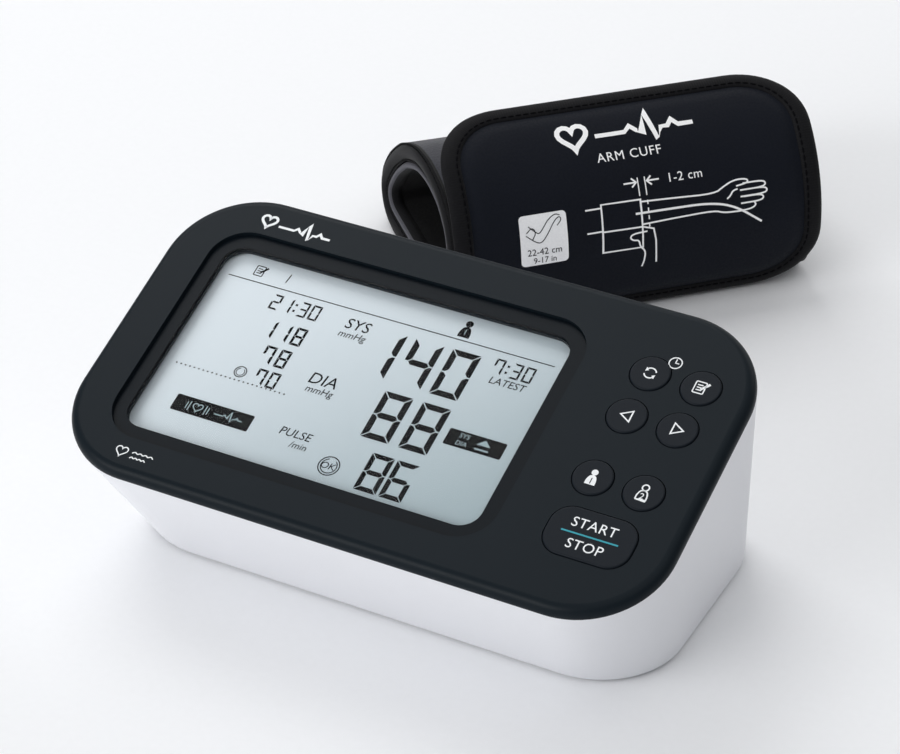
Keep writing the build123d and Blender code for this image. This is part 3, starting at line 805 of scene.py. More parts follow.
def flap_grid(inset, pitch):
    """Rows of places over the flap, a round-cornered panel that stops short of the edge."""
    half_s, half_t = CUFF_HALF - inset, FLAP_LENGTH / 2 - inset
    corner = FLAP_CORNER - inset
    across, up = round(2 * half_s / pitch), round(2 * half_t / pitch)
    rows = []
    for i in range(across + 1):
        row = []
        for j in range(up + 1):
            s, t = -half_s + 2 * half_s * i / across, -half_t + 2 * half_t * j / up
            x, y = round_corner(abs(s) - half_s + corner, abs(t) - half_t + corner)
            s = math.copysign(x + half_s - corner, s)
            t = math.copysign(y + half_t - corner, t)
            row.append((s, t + FLAP_LENGTH / 2))
        rows.append(row)
    return rows


def two_sided(name, rows, front, back, material):
    """A closed pad between two heights over the flap."""
    height, width = len(rows), len(rows[0])
    rim = [(i, 0) for i in range(height)] + [(height - 1, j) for j in range(1, width)]
    rim += [(i, width - 1) for i in range(height - 2, -1, -1)] + [(0, j) for j in range(width - 2, 0, -1)]
    flat = [place for row in rows for place in row]
    points = [on_flap(s, t, front(s, t)) for s, t in flat] + [on_flap(s, t, back(s, t)) for s, t in flat]
    count = len(flat)
    faces = []
    for i in range(height - 1):
        for j in range(width - 1):
            quad = (i * width + j, (i + 1) * width + j, (i + 1) * width + j + 1, i * width + j + 1)
            faces.append(quad)
            faces.append(tuple(count + k for k in reversed(quad)))
    for (i, j), (k, m) in zip(rim, rim[1:] + rim[:1]):
        a, b = i * width + j, k * width + m
        faces.append((b, a, a + count, b + count))
    piece = new_piece(name, points, faces, material)
    layer = piece.data.uv_layers.new(name="UVMap")
    for loop, corner in zip(piece.data.loops, layer.data):
        s, t = flat[loop.vertex_index % count]
        corner.uv = (s * MM, t * MM)
    smooth_outwards(piece)
    return piece


def flap_outline(inset, spacing):
    """Evenly spaced places round the flap at one distance inside its edge, with the way inwards."""
    size = (2 * (CUFF_HALF - inset), FLAP_LENGTH - 2 * inset)
    corners = rounded_box((0, FLAP_LENGTH / 2), size, FLAP_CORNER - inset, 24)
    length = sum(math.dist(a, b) for a, b in zip(corners, corners[1:] + corners[:1]))
    line = even_line([Vector(point) for point in corners], round(length / spacing))
    count = len(line)
    places, travelled = [], 0.0
    for k in range(count):
        run = (line[(k + 1) % count] - line[k - 1]).normalized()
        places.append((line[k], Vector((-run.y, run.x)), run, travelled))
        travelled += (line[(k + 1) % count] - line[k]).length
    return places, travelled


def flap_binding(name, material):
    """Tape folded over the flap's edge and sewn down on both faces."""
    middle = -FLAP_THICK / 2
    outer = [(SEAM_INSET + 0.1, -0.95), (5.6, -0.5), (4.4, -0.12), (3.0, -0.02), (1.7, -0.22), (0.75, -0.7),
             (0.15, -1.3), (0.0, middle)]
    outer += [(inset, 2 * middle - lift) for inset, lift in reversed(outer[:-1])]
    inner = [(inset + 0.35, middle + (lift - middle) * 0.78) for inset, lift in outer]
    inner[0] = (SEAM_INSET + 0.1, -1.4)
    inner[-1] = (SEAM_INSET + 0.1, 2 * middle + 1.4)
    section = outer + inner[::-1]
    places, length = flap_outline(0.0, 2.2)
    rows = []
    for place, inwards, _run, _travelled in places:
        row = []
        for inset, lift in section:
            s, t = place + inwards * inset
            row.append(on_flap(s, t, lift))
        rows.append(row)
    u = [place[3] * MM for place in places] + [length * MM]
    v, travelled = [0.0], 0.0
    for before, after in zip(section, section[1:] + section[:1]):
        travelled += math.dist(before, after)
        v.append(travelled * MM)
    return loft(name, rows, u, v, material, wrap_rows=True, wrap_columns=True)


def stitch_row(name, inset, spacing, lift, material, thread=0.32):
    """A row of stitches round the flap: short rounded threads that dip at both ends."""
    places, _ = flap_outline(inset, spacing)
    points, faces = [], []
    profile = [(-0.5, 0.12), (-0.38, 0.8), (-0.1, 1.0), (0.1, 1.0), (0.38, 0.8), (0.5, 0.12)]
    for place, inwards, run, _travelled in places:
        start = len(points)
        for share, fat in profile:
            along = place + run * share * spacing * 0.82
            for k in range(6):
                angle = 2 * math.pi * k / 6
                s, t = along + inwards * math.cos(angle) * thread * fat
                points.append(on_flap(s, t, lift(s, t) + (math.sin(angle) + 0.3) * thread * fat))
        for i in range(len(profile) - 1):
            for k in range(6):
                a, b = start + i * 6 + k, start + i * 6 + (k + 1) % 6
                faces.append((a, b, b + 6, a + 6))
        faces.append(list(range(start + 5, start - 1, -1)))
        faces.append(list(range(start + 30, start + 36)))
    piece = new_piece(name, points, faces, material)
    smooth_outwards(piece)
    return piece


# ---------------------------------------------------------------- sizes and colours a user would change
def colour_property(name, description, red, green, blue):
    return FloatVectorProperty(
        name=name, description=description, subtype="COLOR", size=4, min=0.0, max=1.0,
        default=screen_colour(red, green, blue),
    )


def length_property(name, description, millimetres):
    return FloatProperty(
        name=name, description=description, default=millimetres * MM, unit="LENGTH", subtype="DISTANCE",
    )


class StageLooks(bpy.types.PropertyGroup):
    floor: colour_property("Floor", "Colour of the floor", 244, 245, 247)
    air: colour_property("Surroundings", "Colour of the light from all round", 243, 244, 246)
    air_strength: FloatProperty(name="Surroundings", description="Strength of that light", default=0.3)
    key_power: FloatProperty(
        name="Key", description="Power of the large lamp at the back left", default=11.0, unit="POWER")
    fill_power: FloatProperty(
        name="Fill", description="Power of the lamp at the front left", default=15.0, unit="POWER")
    top_power: FloatProperty(
        name="Top", description="Power of the large soft lamp overhead", default=6.0, unit="POWER")
    rim_power: FloatProperty(
        name="Rim", description="Power of the strip lamp behind", default=4.0, unit="POWER")
    view_distance: length_property("Camera Distance", "From the camera to what it looks at", 860)
    lens: FloatProperty(name="Lens", description="Focal length in millimetres", default=121.48)


class MonitorLooks(bpy.types.PropertyGroup):
    base: colour_property("Base", "Colour of the lower case", 228, 229, 233)
    cover: colour_property("Cover", "Colour of the upper cover", 17, 25, 31)
    button: colour_property("Buttons", "Colour of the buttons", 18, 24, 31)
    border: colour_property("Display Border", "Colour printed round the display", 9, 16, 22)
    # The display's two colours are painted light and shade: painted light at its upper left, painted shade
    # at its lower right
    display_painted_light: colour_property("Display, Light", "Display at its upper left", 230, 241, 248)
    display_painted_shade: colour_property("Display, Dark", "Display at its lower right", 156, 177, 184)
    figure: colour_property("Figures", "Colour of the display's figures", 5, 6, 8)
    ink: colour_property("Ink", "Colour of the printed symbols", 236, 239, 241)
    accent: colour_property("Accent", "Colour of the line between START and STOP", 42, 150, 165)
    symbol_line: length_property("Symbol Line", "Width of a printed symbol's lines", 0.42)
    large_figure: length_property("Large Figures", "Height of the reading's figures", 16.9)
    small_figure: length_property("Small Figures", "Height of the earlier reading's figures", 6.6)


class CuffLooks(bpy.types.PropertyGroup):
    outer: colour_property("Outer Cloth", "Colour of the brushed loop cloth", 50, 51, 58)
    # Partly painted shade: the lining's dark cloth colour is made near black, to the dark of the shaded
    # hollow inside the roll
    lining: colour_property("Lining", "Colour of the cloth inside the roll", 8, 8, 10)
    # Painted highlight: this grey strip stands for the light caught along the inner turn's rounded edge
    rim: colour_property("Piping", "Colour of the piping on the inner turn", 78, 78, 84)
    binding: colour_property("Binding", "Colour of the edge tape", 12, 12, 15)
    panel: colour_property("Flap Cloth", "Colour of the printed flap", 14, 18, 27)
    thread: colour_property("Thread", "Colour of the stitches", 9, 9, 12)
    hook: colour_property("Hook Tape", "Colour of the hook tape", 26, 26, 30)
    ink: colour_property("Ink", "Colour of the flap's print", 250, 251, 252)
    label: colour_property("Label", "Colour of the size label", 246, 247, 250)
    label_ink: colour_property("Label Ink", "Colour of the size label's print", 22, 23, 28)
    weave: length_property("Weave", "Distance between two threads", 0.42)
    stitch: length_property("Stitch", "Distance between two stitches", 2.6)
    print_line: length_property("Print Line", "Width of the printed drawing's lines", 0.55)


def looks(kind):
    return getattr(bpy.context.scene, kind)


# ---------------------------------------------------------------- operators: the stage
CAMERA_AROUND = math.radians(27.63)
CAMERA_ABOVE = math.radians(33.67)
CAMERA_AIM = (20.4, -111.1, 73.9)


class AddStage(bpy.types.Operator):
    """Add the floor, the soft lamps and the camera"""

    bl_idname = "bpm.add_stage"
    bl_label = "Add Stage"

    def execute(self, context):
        stage = looks("bpm_stage")
        self.add_floor(stage)
        self.add_air(stage)
        self.add_lamps(stage)
        self.add_camera(stage)
        return {"FINISHED"}

    def add_floor(self, stage):
        deselect()
        bpy.ops.mesh.primitive_plane_add(size=8.0, location=(0, 0, -0.02 * MM))
        floor = bpy.context.object
        floor.name = "floor"
        finish = Finish("Paper Floor", stage.floor, 0.85)
        tooth = finish.noise(420.0, 3.0)
        finish.set("Base Color", finish.mix(tooth, tint(stage.floor, 0.985), tint(stage.floor, 1.015)))
        floor.data.materials.append(finish.material)

    def add_air(self, stage):
        world = bpy.data.worlds.new("Studio")
        world.use_nodes = True
        background = world.node_tree.nodes["Background"]
        background.inputs["Color"].default_value = stage.air
        background.inputs["Strength"].default_value = stage.air_strength
        bpy.context.scene.world = world
        bpy.context.scene.view_settings.view_transform = "Standard"

    def add_lamps(self, stage):
        middle = Vector((0, 0, 0.05))
        for name, place, size, power in (
            ("key", (-0.75, 0.55, 1.25), (1.1, 1.1), stage.key_power),
            ("fill", (-0.7, -1.4, 0.65), (1.2, 0.8), stage.fill_power),
            ("top", (0.45, -0.35, 1.5), (1.6, 1.6), stage.top_power),
            ("rim", (0.25, 1.35, 0.75), (1.6, 0.25), stage.rim_power),
        ):
            lamp = bpy.data.lights.new(name, "AREA")
            lamp.shape = "RECTANGLE"
            lamp.size, lamp.size_y = size
            lamp.energy = power
            holder = bpy.data.objects.new(name, lamp)
            holder.location = place
            holder.rotation_euler = (Vector(place) - middle).to_track_quat("Z", "Y").to_euler()
            bpy.context.scene.collection.objects.link(holder)

    def add_camera(self, stage):
        around, above = CAMERA_AROUND, CAMERA_ABOVE
        back = Vector((math.sin(around) * math.cos(above), -math.cos(around) * math.cos(above),
                       math.sin(above)))
        aim = Vector(CAMERA_AIM) * MM
        camera = bpy.data.objects.new("camera", bpy.data.cameras.new("camera"))
        camera.location = aim + back * stage.view_distance
        camera.rotation_euler = back.to_track_quat("Z", "Y").to_euler()
        camera.data.lens = stage.lens
        camera.data.clip_start = 0.01
        bpy.context.scene.collection.objects.link(camera)
        bpy.context.scene.camera = camera


# ---------------------------------------------------------------- operators: finishes of the CAD nodes
def paint(material, *nodes):
    """Give CAD nodes a finish."""
    for node in nodes:
        piece = frame["nodes"][node]
        if not piece.material_slots:
            piece.data.materials.append(material)
        for slot in piece.material_slots:
            slot.material = material


class FinishCase(bpy.types.Operator):
    """Finish the case, its cover, feet, screws and battery lid"""

    bl_idname = "bpm.finish_case"
    bl_label = "Finish Case"

    def execute(self, context):
        monitor = looks("bpm_monitor")
        base = moulded("White Shell", monitor.base, 0.42, grain=2600.0, depth=0.012, spread=0.015)
        paint(base, "lower_case", "battery_cover")
        cover = moulded("Black Cover", monitor.cover, 0.4, grain=2200.0, depth=0.01, shine=0.1)
        paint(cover, "upper_cover")
        paint(rubbery("Foot Rubber", screen_colour(92, 92, 95)), "rubber_feet")
        paint(metallic("Zinc Screws", (0.6, 0.6, 0.62, 1.0), 0.32, "Z"), "case_screws", "board_screws")
        return {"FINISHED"}


class FinishButtons(bpy.types.Operator):
    """Finish the seven buttons and the frame that guides them"""

    bl_idname = "bpm.finish_buttons"
    bl_label = "Finish Buttons"

    def execute(self, context):
        monitor = looks("bpm_monitor")
        buttons = [node for node in frame["nodes"] if node.startswith("button_") and node != "button_guide"]
        plastic = moulded("Button Plastic", monitor.button, 0.45, grain=2600.0, depth=0.008, shine=0.12)
        paint(plastic, *buttons)
        paint(moulded("Guide Plastic", screen_colour(120, 122, 124), 0.5), "button_guide")
        return {"FINISHED"}


class FinishDisplay(bpy.types.Operator):
    """Finish the lens, the display and its frame"""

    bl_idname = "bpm.finish_display"
    bl_label = "Finish Display"

    def execute(self, context):
        monitor = looks("bpm_monitor")
        paint(clear_plastic("Clear Lens", (0.01, 0.012, 0.015, 1.0)), "display_lens")
        paint(rubbery("Gasket Foam", screen_colour(40, 40, 42), 0.9), "lens_gasket")
        # The display film gets painted light at its upper left and painted shade at its lower right
        paint(reflector_with_painted_light("Display Film", monitor.display_painted_light, monitor.display_painted_shade), "lcd_panel")
        paint(moulded("Frame Plastic", screen_colour(214, 215, 212), 0.5), "lcd_frame")
        paint(rubbery("Connector Strip", screen_colour(86, 86, 92), 0.6), "lcd_connector_strip")
        return {"FINISHED"}


class FinishBoard(bpy.types.Operator):
    """Finish the circuit board and what is soldered to it"""

    bl_idname = "bpm.finish_board"
    bl_label = "Finish Board"

    def execute(self, context):
        paint(board_lacquer("Circuit Board", (0.03, 0.19, 0.07, 1.0)), "main_board")
        paint(moulded("Switch Plastic", screen_colour(36, 36, 38), 0.4), "tact_switches")
        paint(moulded("Chip Resin", screen_colour(30, 30, 32), 0.55, grain=4000.0), "controller_chip")
        paint(metallic("Shield Steel", (0.72, 0.72, 0.73, 1.0), 0.28, "X"), "radio_module")
        paint(moulded("Component Bodies", screen_colour(112, 96, 74), 0.5, spread=0.25), "board_components")
        paint(moulded("Sensor Plastic", screen_colour(206, 202, 188), 0.45), "pressure_sensor")
        return {"FINISHED"}


class FinishPower(bpy.types.Operator):
    """Finish the battery tray, cells, springs and contacts, and the mains socket"""

    bl_idname = "bpm.finish_power"
    bl_label = "Finish Power"

    def execute(self, context):
        paint(moulded("Tray Plastic", screen_colour(206, 206, 206), 0.5), "battery_tray")
        wrap = Finish("Cell Wrap", screen_colour(60, 68, 84), 0.3, metallic=0.3)
        band = wrap.part(wrap.place(), "Y") * (2 * math.pi / (50 * MM))
        stripe = wrap.range(band.maths("SINE", band), 0.55, 0.6)
        scuff = wrap.noise(260.0, 3.0)
        wrap.set("Base Color", wrap.mix(stripe, screen_colour(60, 68, 84), screen_colour(186, 142, 66)))
        wrap.set("Roughness", wrap.range(scuff, 0.35, 0.65, 0.24, 0.42))
        paint(wrap.material, "battery_cells")
        wire = metallic("Spring Wire", (0.78, 0.77, 0.74, 1.0), 0.25, "Y")
        paint(wire, "battery_springs", "battery_contacts")
        paint(moulded("Jack Plastic", screen_colour(42, 42, 44), 0.5), "power_jack", "air_jack")
        return {"FINISHED"}


class FinishAir(bpy.types.Operator):
    """Finish the pump, valve, manifold and tubes"""

    bl_idname = "bpm.finish_air"
    bl_label = "Finish Air"

    def execute(self, context):
        paint(metallic("Motor Can", (0.7, 0.7, 0.71, 1.0), 0.3, "X"), "pump_motor")
        paint(moulded("Pump Plastic", screen_colour(70, 72, 76), 0.45), "pump_head")
        paint(metallic("Crank Brass", (0.8, 0.62, 0.3, 1.0), 0.28, "X"), "pump_crank")
        paint(rubbery("Cradle Foam", screen_colour(64, 64, 66), 0.95), "pump_cradle")
        paint(metallic("Valve Steel", (0.66, 0.66, 0.66, 1.0), 0.34, "Z"),
              "exhaust_valve", "valve_plunger", "valve_spring")
        paint(moulded("Manifold Plastic", screen_colour(176, 178, 180), 0.45), "air_manifold")
        tube = Finish("Silicone Tube", screen_colour(226, 226, 222), 0.4, subsurface_weight=0.2)
        cloud = tube.noise(220.0, 3.0)
        tube.set("Base Color", tube.mix(cloud, screen_colour(214, 214, 208), screen_colour(232, 232, 228)))
        tube.bump(cloud, 0.05 * MM, 0.3)
        paint(tube.material, "air_tubes")
        return {"FINISHED"}


# ---------------------------------------------------------------- operators: prints on the monitor
RECESS_CENTRE, RECESS_SIZE, RECESS_CORNER = (-18.95, -0.75), (125.1, 80.1), 12.0
VIEW_CENTRE, VIEW_SIZE, VIEW_CORNER = (-19.2, -1.0), (115.6, 70.0), 6.5
LENS_TOP = 2.1
DISPLAY_SHIFT = (-0.8, 1.0)


def on_display(u, v, w):
    """A place in the display's own drawing, which is not quite in the middle of the window."""
    return on_face(u + DISPLAY_SHIFT[0], v + DISPLAY_SHIFT[1], w)


class AddDisplayBorder(bpy.types.Operator):
    """Print the dark border on the lens, round the display"""

    bl_idname = "bpm.add_display_border"
    bl_label = "Add Display Border"

    def execute(self, context):
        gap = 0.3
        size = (RECESS_SIZE[0] - gap, RECESS_SIZE[1] - gap)
        outer = rounded_box(RECESS_CENTRE, size, RECESS_CORNER - gap / 2, 12)
        inner = rounded_box(VIEW_CENTRE, VIEW_SIZE, VIEW_CORNER, 12)
        count = len(outer)
        band = [[outer[k], outer[(k + 1) % count], inner[(k + 1) % count], inner[k]] for k in range(count)]
        finish = Finish("Display Border", looks("bpm_monitor").border, 0.4, specular_ior_level=0.1)
        specks = finish.noise(1500.0, 3.0)
        finish.set("Roughness", finish.range(specks, 0.3, 0.7, 0.36, 0.42))
        finish.set("Base Color", finish.mix(
            specks, tint(looks("bpm_monitor").border, 0.92), tint(looks("bpm_monitor").border, 1.08)))
        piece = marks("display_border", band, on_face, LENS_TOP + 0.01, 0.05, finish.material)
        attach(piece, "monitor")
        return {"FINISHED"}


class AddDisplayFigures(bpy.types.Operator):
    """Show the reading on the display: figures, labels and small symbols"""

    bl_idname = "bpm.add_display_figures"
    bl_label = "Add Display Figures"

    def execute(self, context):
        monitor = looks("bpm_monitor")
        dark = printed_ink("Display Figures", monitor.figure, 0.5, 0.04)
        light = printed_ink("Display Ground", tint(monitor.display_painted_shade, 1.15), 0.4)
        large, small = monitor.large_figure / MM, monitor.small_figure / MM
        groups = {
            "display_figures": self.readings(large, small),
            "display_words": self.labels(),
            "display_symbols": self.symbols(),
        }
        for name, polygons in groups.items():
            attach(marks(name, polygons, on_display, LCD_TOP + 0.01, 0.04, dark), "monitor")
        signs = marks("display_signs", self.light_signs(), on_display, LCD_TOP + 0.07, 0.03, light)
        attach(signs, "monitor")
        return {"FINISHED"}

    def readings(self, large, small):
        drawn = figures("140", large, -2.9, 12.1, 12.5)
        drawn += figures("88", large, 3.1, 12.3, -7.8)
        drawn += figures("86", 0.78 * large, 6.5, 8.1, -26.9)
        drawn += figures("21:30", 0.84 * small, -47.8, 3.9, 19.5, weight=0.11)
        drawn += figures("118", small, -46.6, 5.0, 9.9, weight=0.125)
        drawn += figures("78", small, -44.8, 5.0, 1.0, weight=0.125)
        drawn += figures("70", 0.88 * small, -43.5, 4.3, -7.0, weight=0.125)
        return drawn + figures("7:30", 0.84 * small, 24.9, 4.0, 19.2, weight=0.11)

    def labels(self):
        drawn = words("SYS", 3.7, (-26.3, 19.5), slant=0.12)
        drawn += words("mmHg", 2.3, (-26.4, 15.5), slant=0.12)
        drawn += words("DIA", 3.9, (-26.8, -2.0), slant=0.12)
        drawn += words("mmHg", 2.3, (-26.3, -5.9), slant=0.12)
        drawn += words("PULSE", 2.7, (-25.7, -21.9), slant=0.12)
        drawn += words("/min", 2.2, (-23.0, -25.5), slant=0.12)
        drawn += words("LATEST", 2.4, (25.2, 14.3), slant=0.12)
        return drawn + words("OK", 2.2, (-11.5, -28.8), slant=0.12)

    def symbols(self):
        drawn = stroke([(-73.6, 24.5), (35.6, 24.5)], 0.3)
        drawn += stroke([(-55.2, 27.0), (-54.8, 30.4)], 0.35)
        drawn += notepad((-64.6, 28.6), 4.0, 0.3)
        head, body = person((5.2, 28.7), 6.2)
        drawn += [head, body]
        for k in range(25):
            drawn.append(disc((-72.5 + 1.525 * k, -10.3), 0.28, 8))
        drawn.append(rounded_box((-53.2, -23.15), (26.0, 5.8), 0.4, 2))
        drawn.append(rounded_box((25.4, -7.85), (18.2, 5.7), 0.4, 2))
        drawn += ring((-11.3, -28.8), 3.2, 0.34)
        drawn += ring((-11.3, -28.8), 2.45, 0.3, -250, 55)
        drawn += ring((-52.3, -7.2), 1.9, 0.3)
        drawn += ring((-52.3, -7.2), 1.3, 0.24, -250, 55)
        return drawn

    def light_signs(self):
        drawn = stroke(heart((-58.2, -23.3), 3.2), 0.32, closed=True)
        for side in (-1, 1):
            for step in (0, 1):
                x = -58.2 + side * (2.7 + 0.9 * step)
                drawn += stroke([(x, -24.9 + 0.4 * step), (x, -21.6 - 0.4 * step)], 0.3)
        drawn += stroke(pulse_line(-52.4, -23.4, 9.4, 3.4), 0.34)
        drawn += words("SYS", 1.5, (21.6, -6.5), slant=0.12)
        drawn += words("DIA", 1.5, (21.6, -9.1), slant=0.12)
        drawn.append([(25.9, -7.9), (30.3, -7.9), (28.1, -5.9)])
        drawn += stroke([(25.9, -9.4), (30.3, -9.4)], 0.5)
        return drawn + words("1", 1.8, (5.2, 27.6))


class AddButtonSymbols(bpy.types.Operator):
    """Print a symbol on each button, so that it travels with the button"""

    bl_idname = "bpm.add_button_symbols"
    bl_label = "Add Button Symbols"

    def execute(self, context):
        monitor = looks("bpm_monitor")
        ink = printed_ink("White Ink", monitor.ink)
        ground = printed_ink("Cutout Ink", monitor.button)
        accent = printed_ink("Accent Ink", monitor.accent, 0.4)
        line = monitor.symbol_line / MM
        head, body = person((63.5, -9.5), 5.2)
        head_2, body_2 = person((79.0, -9.6), 5.2)
        left = [(62.0, 13.0), (65.2, 14.9), (65.2, 11.1)]
        right = [(81.1, 13.1), (77.9, 11.2), (77.9, 15.0)]
        outline_2 = stroke(head_2, line, closed=True) + stroke(body_2, line, closed=True)
        for button, polygons in (
            ("button_sync", two_arrows((64.1, 28.8), 1.75, line)),
            ("button_memory", notepad((79.8, 28.6), 4.4, 0.36)),
            ("button_previous", stroke(left, line, closed=True)),
            ("button_next", stroke(right, line, closed=True)),
            ("button_user_1", [head, body]),
            ("button_user_2", outline_2 + words("2", 2.0, (79.0, -10.9))),
            ("button_start_stop", words("START", 3.1, (71.0, -24.6), spacing=1.06)
             + words("STOP", 3.1, (71.0, -31.6), spacing=1.06)),
        ):
            name = button.replace("button", "symbol")
            piece = marks(name, polygons, on_face, BUTTON_TOP + 0.01, 0.04, ink)
            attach(piece, button)
        numeral = marks("symbol_user_1_number", words("1", 2.0, (63.5, -10.8)), on_face, BUTTON_TOP + 0.06,
                        0.03, ground)
        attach(numeral, "button_user_1")
        bar = marks("start_stop_line", stroke([(62.4, -28.2), (79.6, -28.2)], 0.5), on_face,
                    BUTTON_TOP + 0.01, 0.04, accent)
        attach(bar, "button_start_stop")
        return {"FINISHED"}


class AddFaceMarks(bpy.types.Operator):
    """Print the small marks on the cover: a heartbeat trace, a clock and a wave"""

    bl_idname = "bpm.add_face_marks"
    bl_label = "Add Face Marks"

    def execute(self, context):
        ink = printed_ink("Face Ink", looks("bpm_monitor").ink)
        trace = stroke(heart((-69.2, 44.3), 5.0), 0.85, closed=True)
        trace += stroke(pulse_line(-65.4, 43.6, 17.6, 6.0), 0.8)
        clock = ring((69.4, 34.6), 1.9, 0.36) + stroke([(69.4, 36.0), (69.4, 34.6), (70.5, 34.6)], 0.34)
        wave = stroke(heart((-70.0, -46.2), 3.8), 0.36, closed=True)
        for level, length in ((-45.4, 7.0), (-47.2, 5.2)):
            wave += stroke(rounded_line([
                (-66.6 + length * k / 8, level + (0.35 if k % 2 else -0.35)) for k in range(9)]), 0.34)
        for name, polygons in (("face_trace", trace), ("face_clock", clock), ("face_wave", wave)):
            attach(marks(name, polygons, on_face, COVER_TOP + 0.01, 0.04, ink), "monitor")
        return {"FINISHED"}


# ---------------------------------------------------------------- operators: the cuff
HOOK_FROM, HOOK_TO, HOOK_HALF = 11, 93, 48.8


class AddSleeve(bpy.types.Operator):
    """Wind the two turns of padded sleeve"""

    bl_idname = "bpm.add_sleeve"
    bl_label = "Add Sleeve"

    def execute(self, context):
        cuff = looks("bpm_cuff")
        outer_cloth = brushed_loop("Brushed Loop", cuff.outer)
        # The lining cloth is near black, partly painted shade for the roll's hollow
        lining_cloth_painted_shade = woven("Lining Cloth", cuff.lining, cuff.weave / MM, 0.12)
        outer = sleeve_turn("sleeve_outer_turn", 0.0, 3.4, CUFF_HALF - 1.0, 1.6, outer_cloth)
        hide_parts("cuff_outer_cover", "air_bladder")
        lining = sleeve_turn("sleeve_lining", 3.5, 5.8, CUFF_HALF - 1.0, 1.1, lining_cloth_painted_shade)
        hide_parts("curl_plate", "cuff_inner_lining")
        inner = sleeve_turn("sleeve_inner_turn", 6.5, 9.0, CUFF_HALF - 2.6, 1.2, lining_cloth_painted_shade)
        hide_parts("cuff_inner_turn")
        for piece, slot, fill in (
            (outer, "outer_fabric", 0.6), (lining, "lining_fabric", 0.4), (inner, "lining_fabric", 0.4),
        ):
            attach(piece, "cuff")
        return {"FINISHED"}


class AddSleeveBindings(bpy.types.Operator):
    """Fold tape over both ends of both turns, with a grey strip on the inner one as a painted highlight
    along its edge
    """

    bl_idname = "bpm.add_sleeve_bindings"
    bl_label = "Add Sleeve Bindings"

    def execute(self, context):
        cuff = looks("bpm_cuff")
        black = ribbed_tape("Binding Tape", cuff.binding)
        painted_highlight_grey = ribbed_tape("Painted Highlight Tape", cuff.rim)
        for side, end in ((-1, "left"), (1, "right")):
            outer = end_binding(f"outer_binding_{end}", side, 0.3, 5.6, CUFF_HALF, 1.8, 0.3, black)
            inner = end_binding(f"inner_binding_{end}", side, 6.6, 8.9, CUFF_HALF - 1.6, 4.0, 0.25, black)
            # Painted highlight: a grey strip along the inner turn's edge, where it catches the light
            painted_highlight_piping = end_binding(f"inner_painted_highlight_{end}", side, 7.2, 8.3, CUFF_HALF - 1.0, 1.2, 0.3, painted_highlight_grey)
            for piece in (outer, inner, painted_highlight_piping):
                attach(piece, "cuff")
        return {"FINISHED"}


class AddFlap(bpy.types.Operator):
    """Sew the printed flap: pad, edge tape, stitches, hook tape and the web that it hinges on"""

    bl_idname = "bpm.add_flap"
    bl_label = "Add Flap"

    def execute(self, context):
        cuff = looks("bpm_cuff")
        pad = two_sided("flap_pad", flap_grid(1.6, 1.7), flap_front, flap_back,
                        woven("Flap Cloth", cuff.panel, cuff.weave / MM, 0.05, fuzz=0.35, roughness=0.7))
        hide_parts("flap_panel")
        tape = flap_binding("flap_binding", ribbed_tape("Flap Tape", cuff.binding))
        thread = rubbery("Thread", cuff.thread, 0.8, 0.05)
        spacing = cuff.stitch / MM
        front = stitch_row("flap_stitches_front", 5.3, spacing, lambda s, t: -0.45, thread)
        back = stitch_row("flap_stitches_back", 5.3, spacing, lambda s, t: -FLAP_THICK + 0.45, thread)
        for piece in (pad, tape, front, back):
            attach(piece, "cuff_flap")
        self.add_hook_tape(cuff)
        self.add_web(cuff)
        return {"FINISHED"}

    def add_hook_tape(self, cuff):
        low = math.radians(HOOK_FROM) * FLAP_RADIUS
        high = math.radians(HOOK_TO) * FLAP_RADIUS
        half = HOOK_HALF
        finish = Finish("Hook Tape", cuff.hook, 0.7)
        surface = finish.along_surface()
        hooks = finish.node("ShaderNodeTexVoronoi", None, {"Vector": surface, "Scale": 900.0})
        # Painted shade: the tape is darker in the gaps between hooks and lighter on their tops
        finish.set("Base Color", finish.mix(hooks, tint(cuff.hook, 1.5), tint(cuff.hook, 0.6)))
        finish.bump(1 - hooks, 0.5 * MM, 0.8)
        rows = []
        for i in range(50):
            s = half * (i / 24.5 - 1)
            rows.append([(s, low + (high - low) * j / 32) for j in range(33)])
        hook = two_sided("hook_tape", rows, lambda s, t: -FLAP_THICK - 0.06, lambda s, t: -FLAP_THICK - 0.75,
                         finish.material)
        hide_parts("hook_patch")
        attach(hook, "cuff_flap")

    def add_web(self, cuff):
        """A strip of cloth under the roll, sewn to the flap's lower edge."""
        line = [(-8.2, 0.45), (-6.4, 0.45), (-4.6, 0.45), (-3.2, 0.45), (-2.2, 0.5)]
        for t in (2.5, 4.5, 6.5, 8.5, 10.5):
            angle = FLAP_START + t / FLAP_RADIUS
            radius = FLAP_RADIUS - FLAP_THICK - 0.2
            line.append((FLAP_AXIS[0] + radius * math.cos(angle), FLAP_AXIS[1] + radius * math.sin(angle)))
        line = rounded_line(line, 2)
        half = CUFF_HALF - 20
        rows = [[in_cuff(half * (i / 20 - 1), n, h) for n, h in line] for i in range(41)]
        reach = [0.0]
        for before, after in zip(line, line[1:]):
            reach.append(reach[-1] + math.dist(before, after) * MM)
        u = [half * (i / 20) * MM for i in range(41)]
        # The web takes the lining colour, which holds painted shade
        web = loft("flap_web", rows, u, reach, woven("Web Cloth", cuff.lining, cuff.weave / MM, 0.1))
        modify(web, "SOLIDIFY", thickness=0.6 * MM, offset=0.0)
        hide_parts("flap_seam_strip")
        in_cuff(0, -3.0, 0.4)
        in_cuff(0, 1.5, 3.0)
        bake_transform(web)


def flap_print(s, t, lift):
    return on_flap(s, t, flap_front(s, t) + lift)


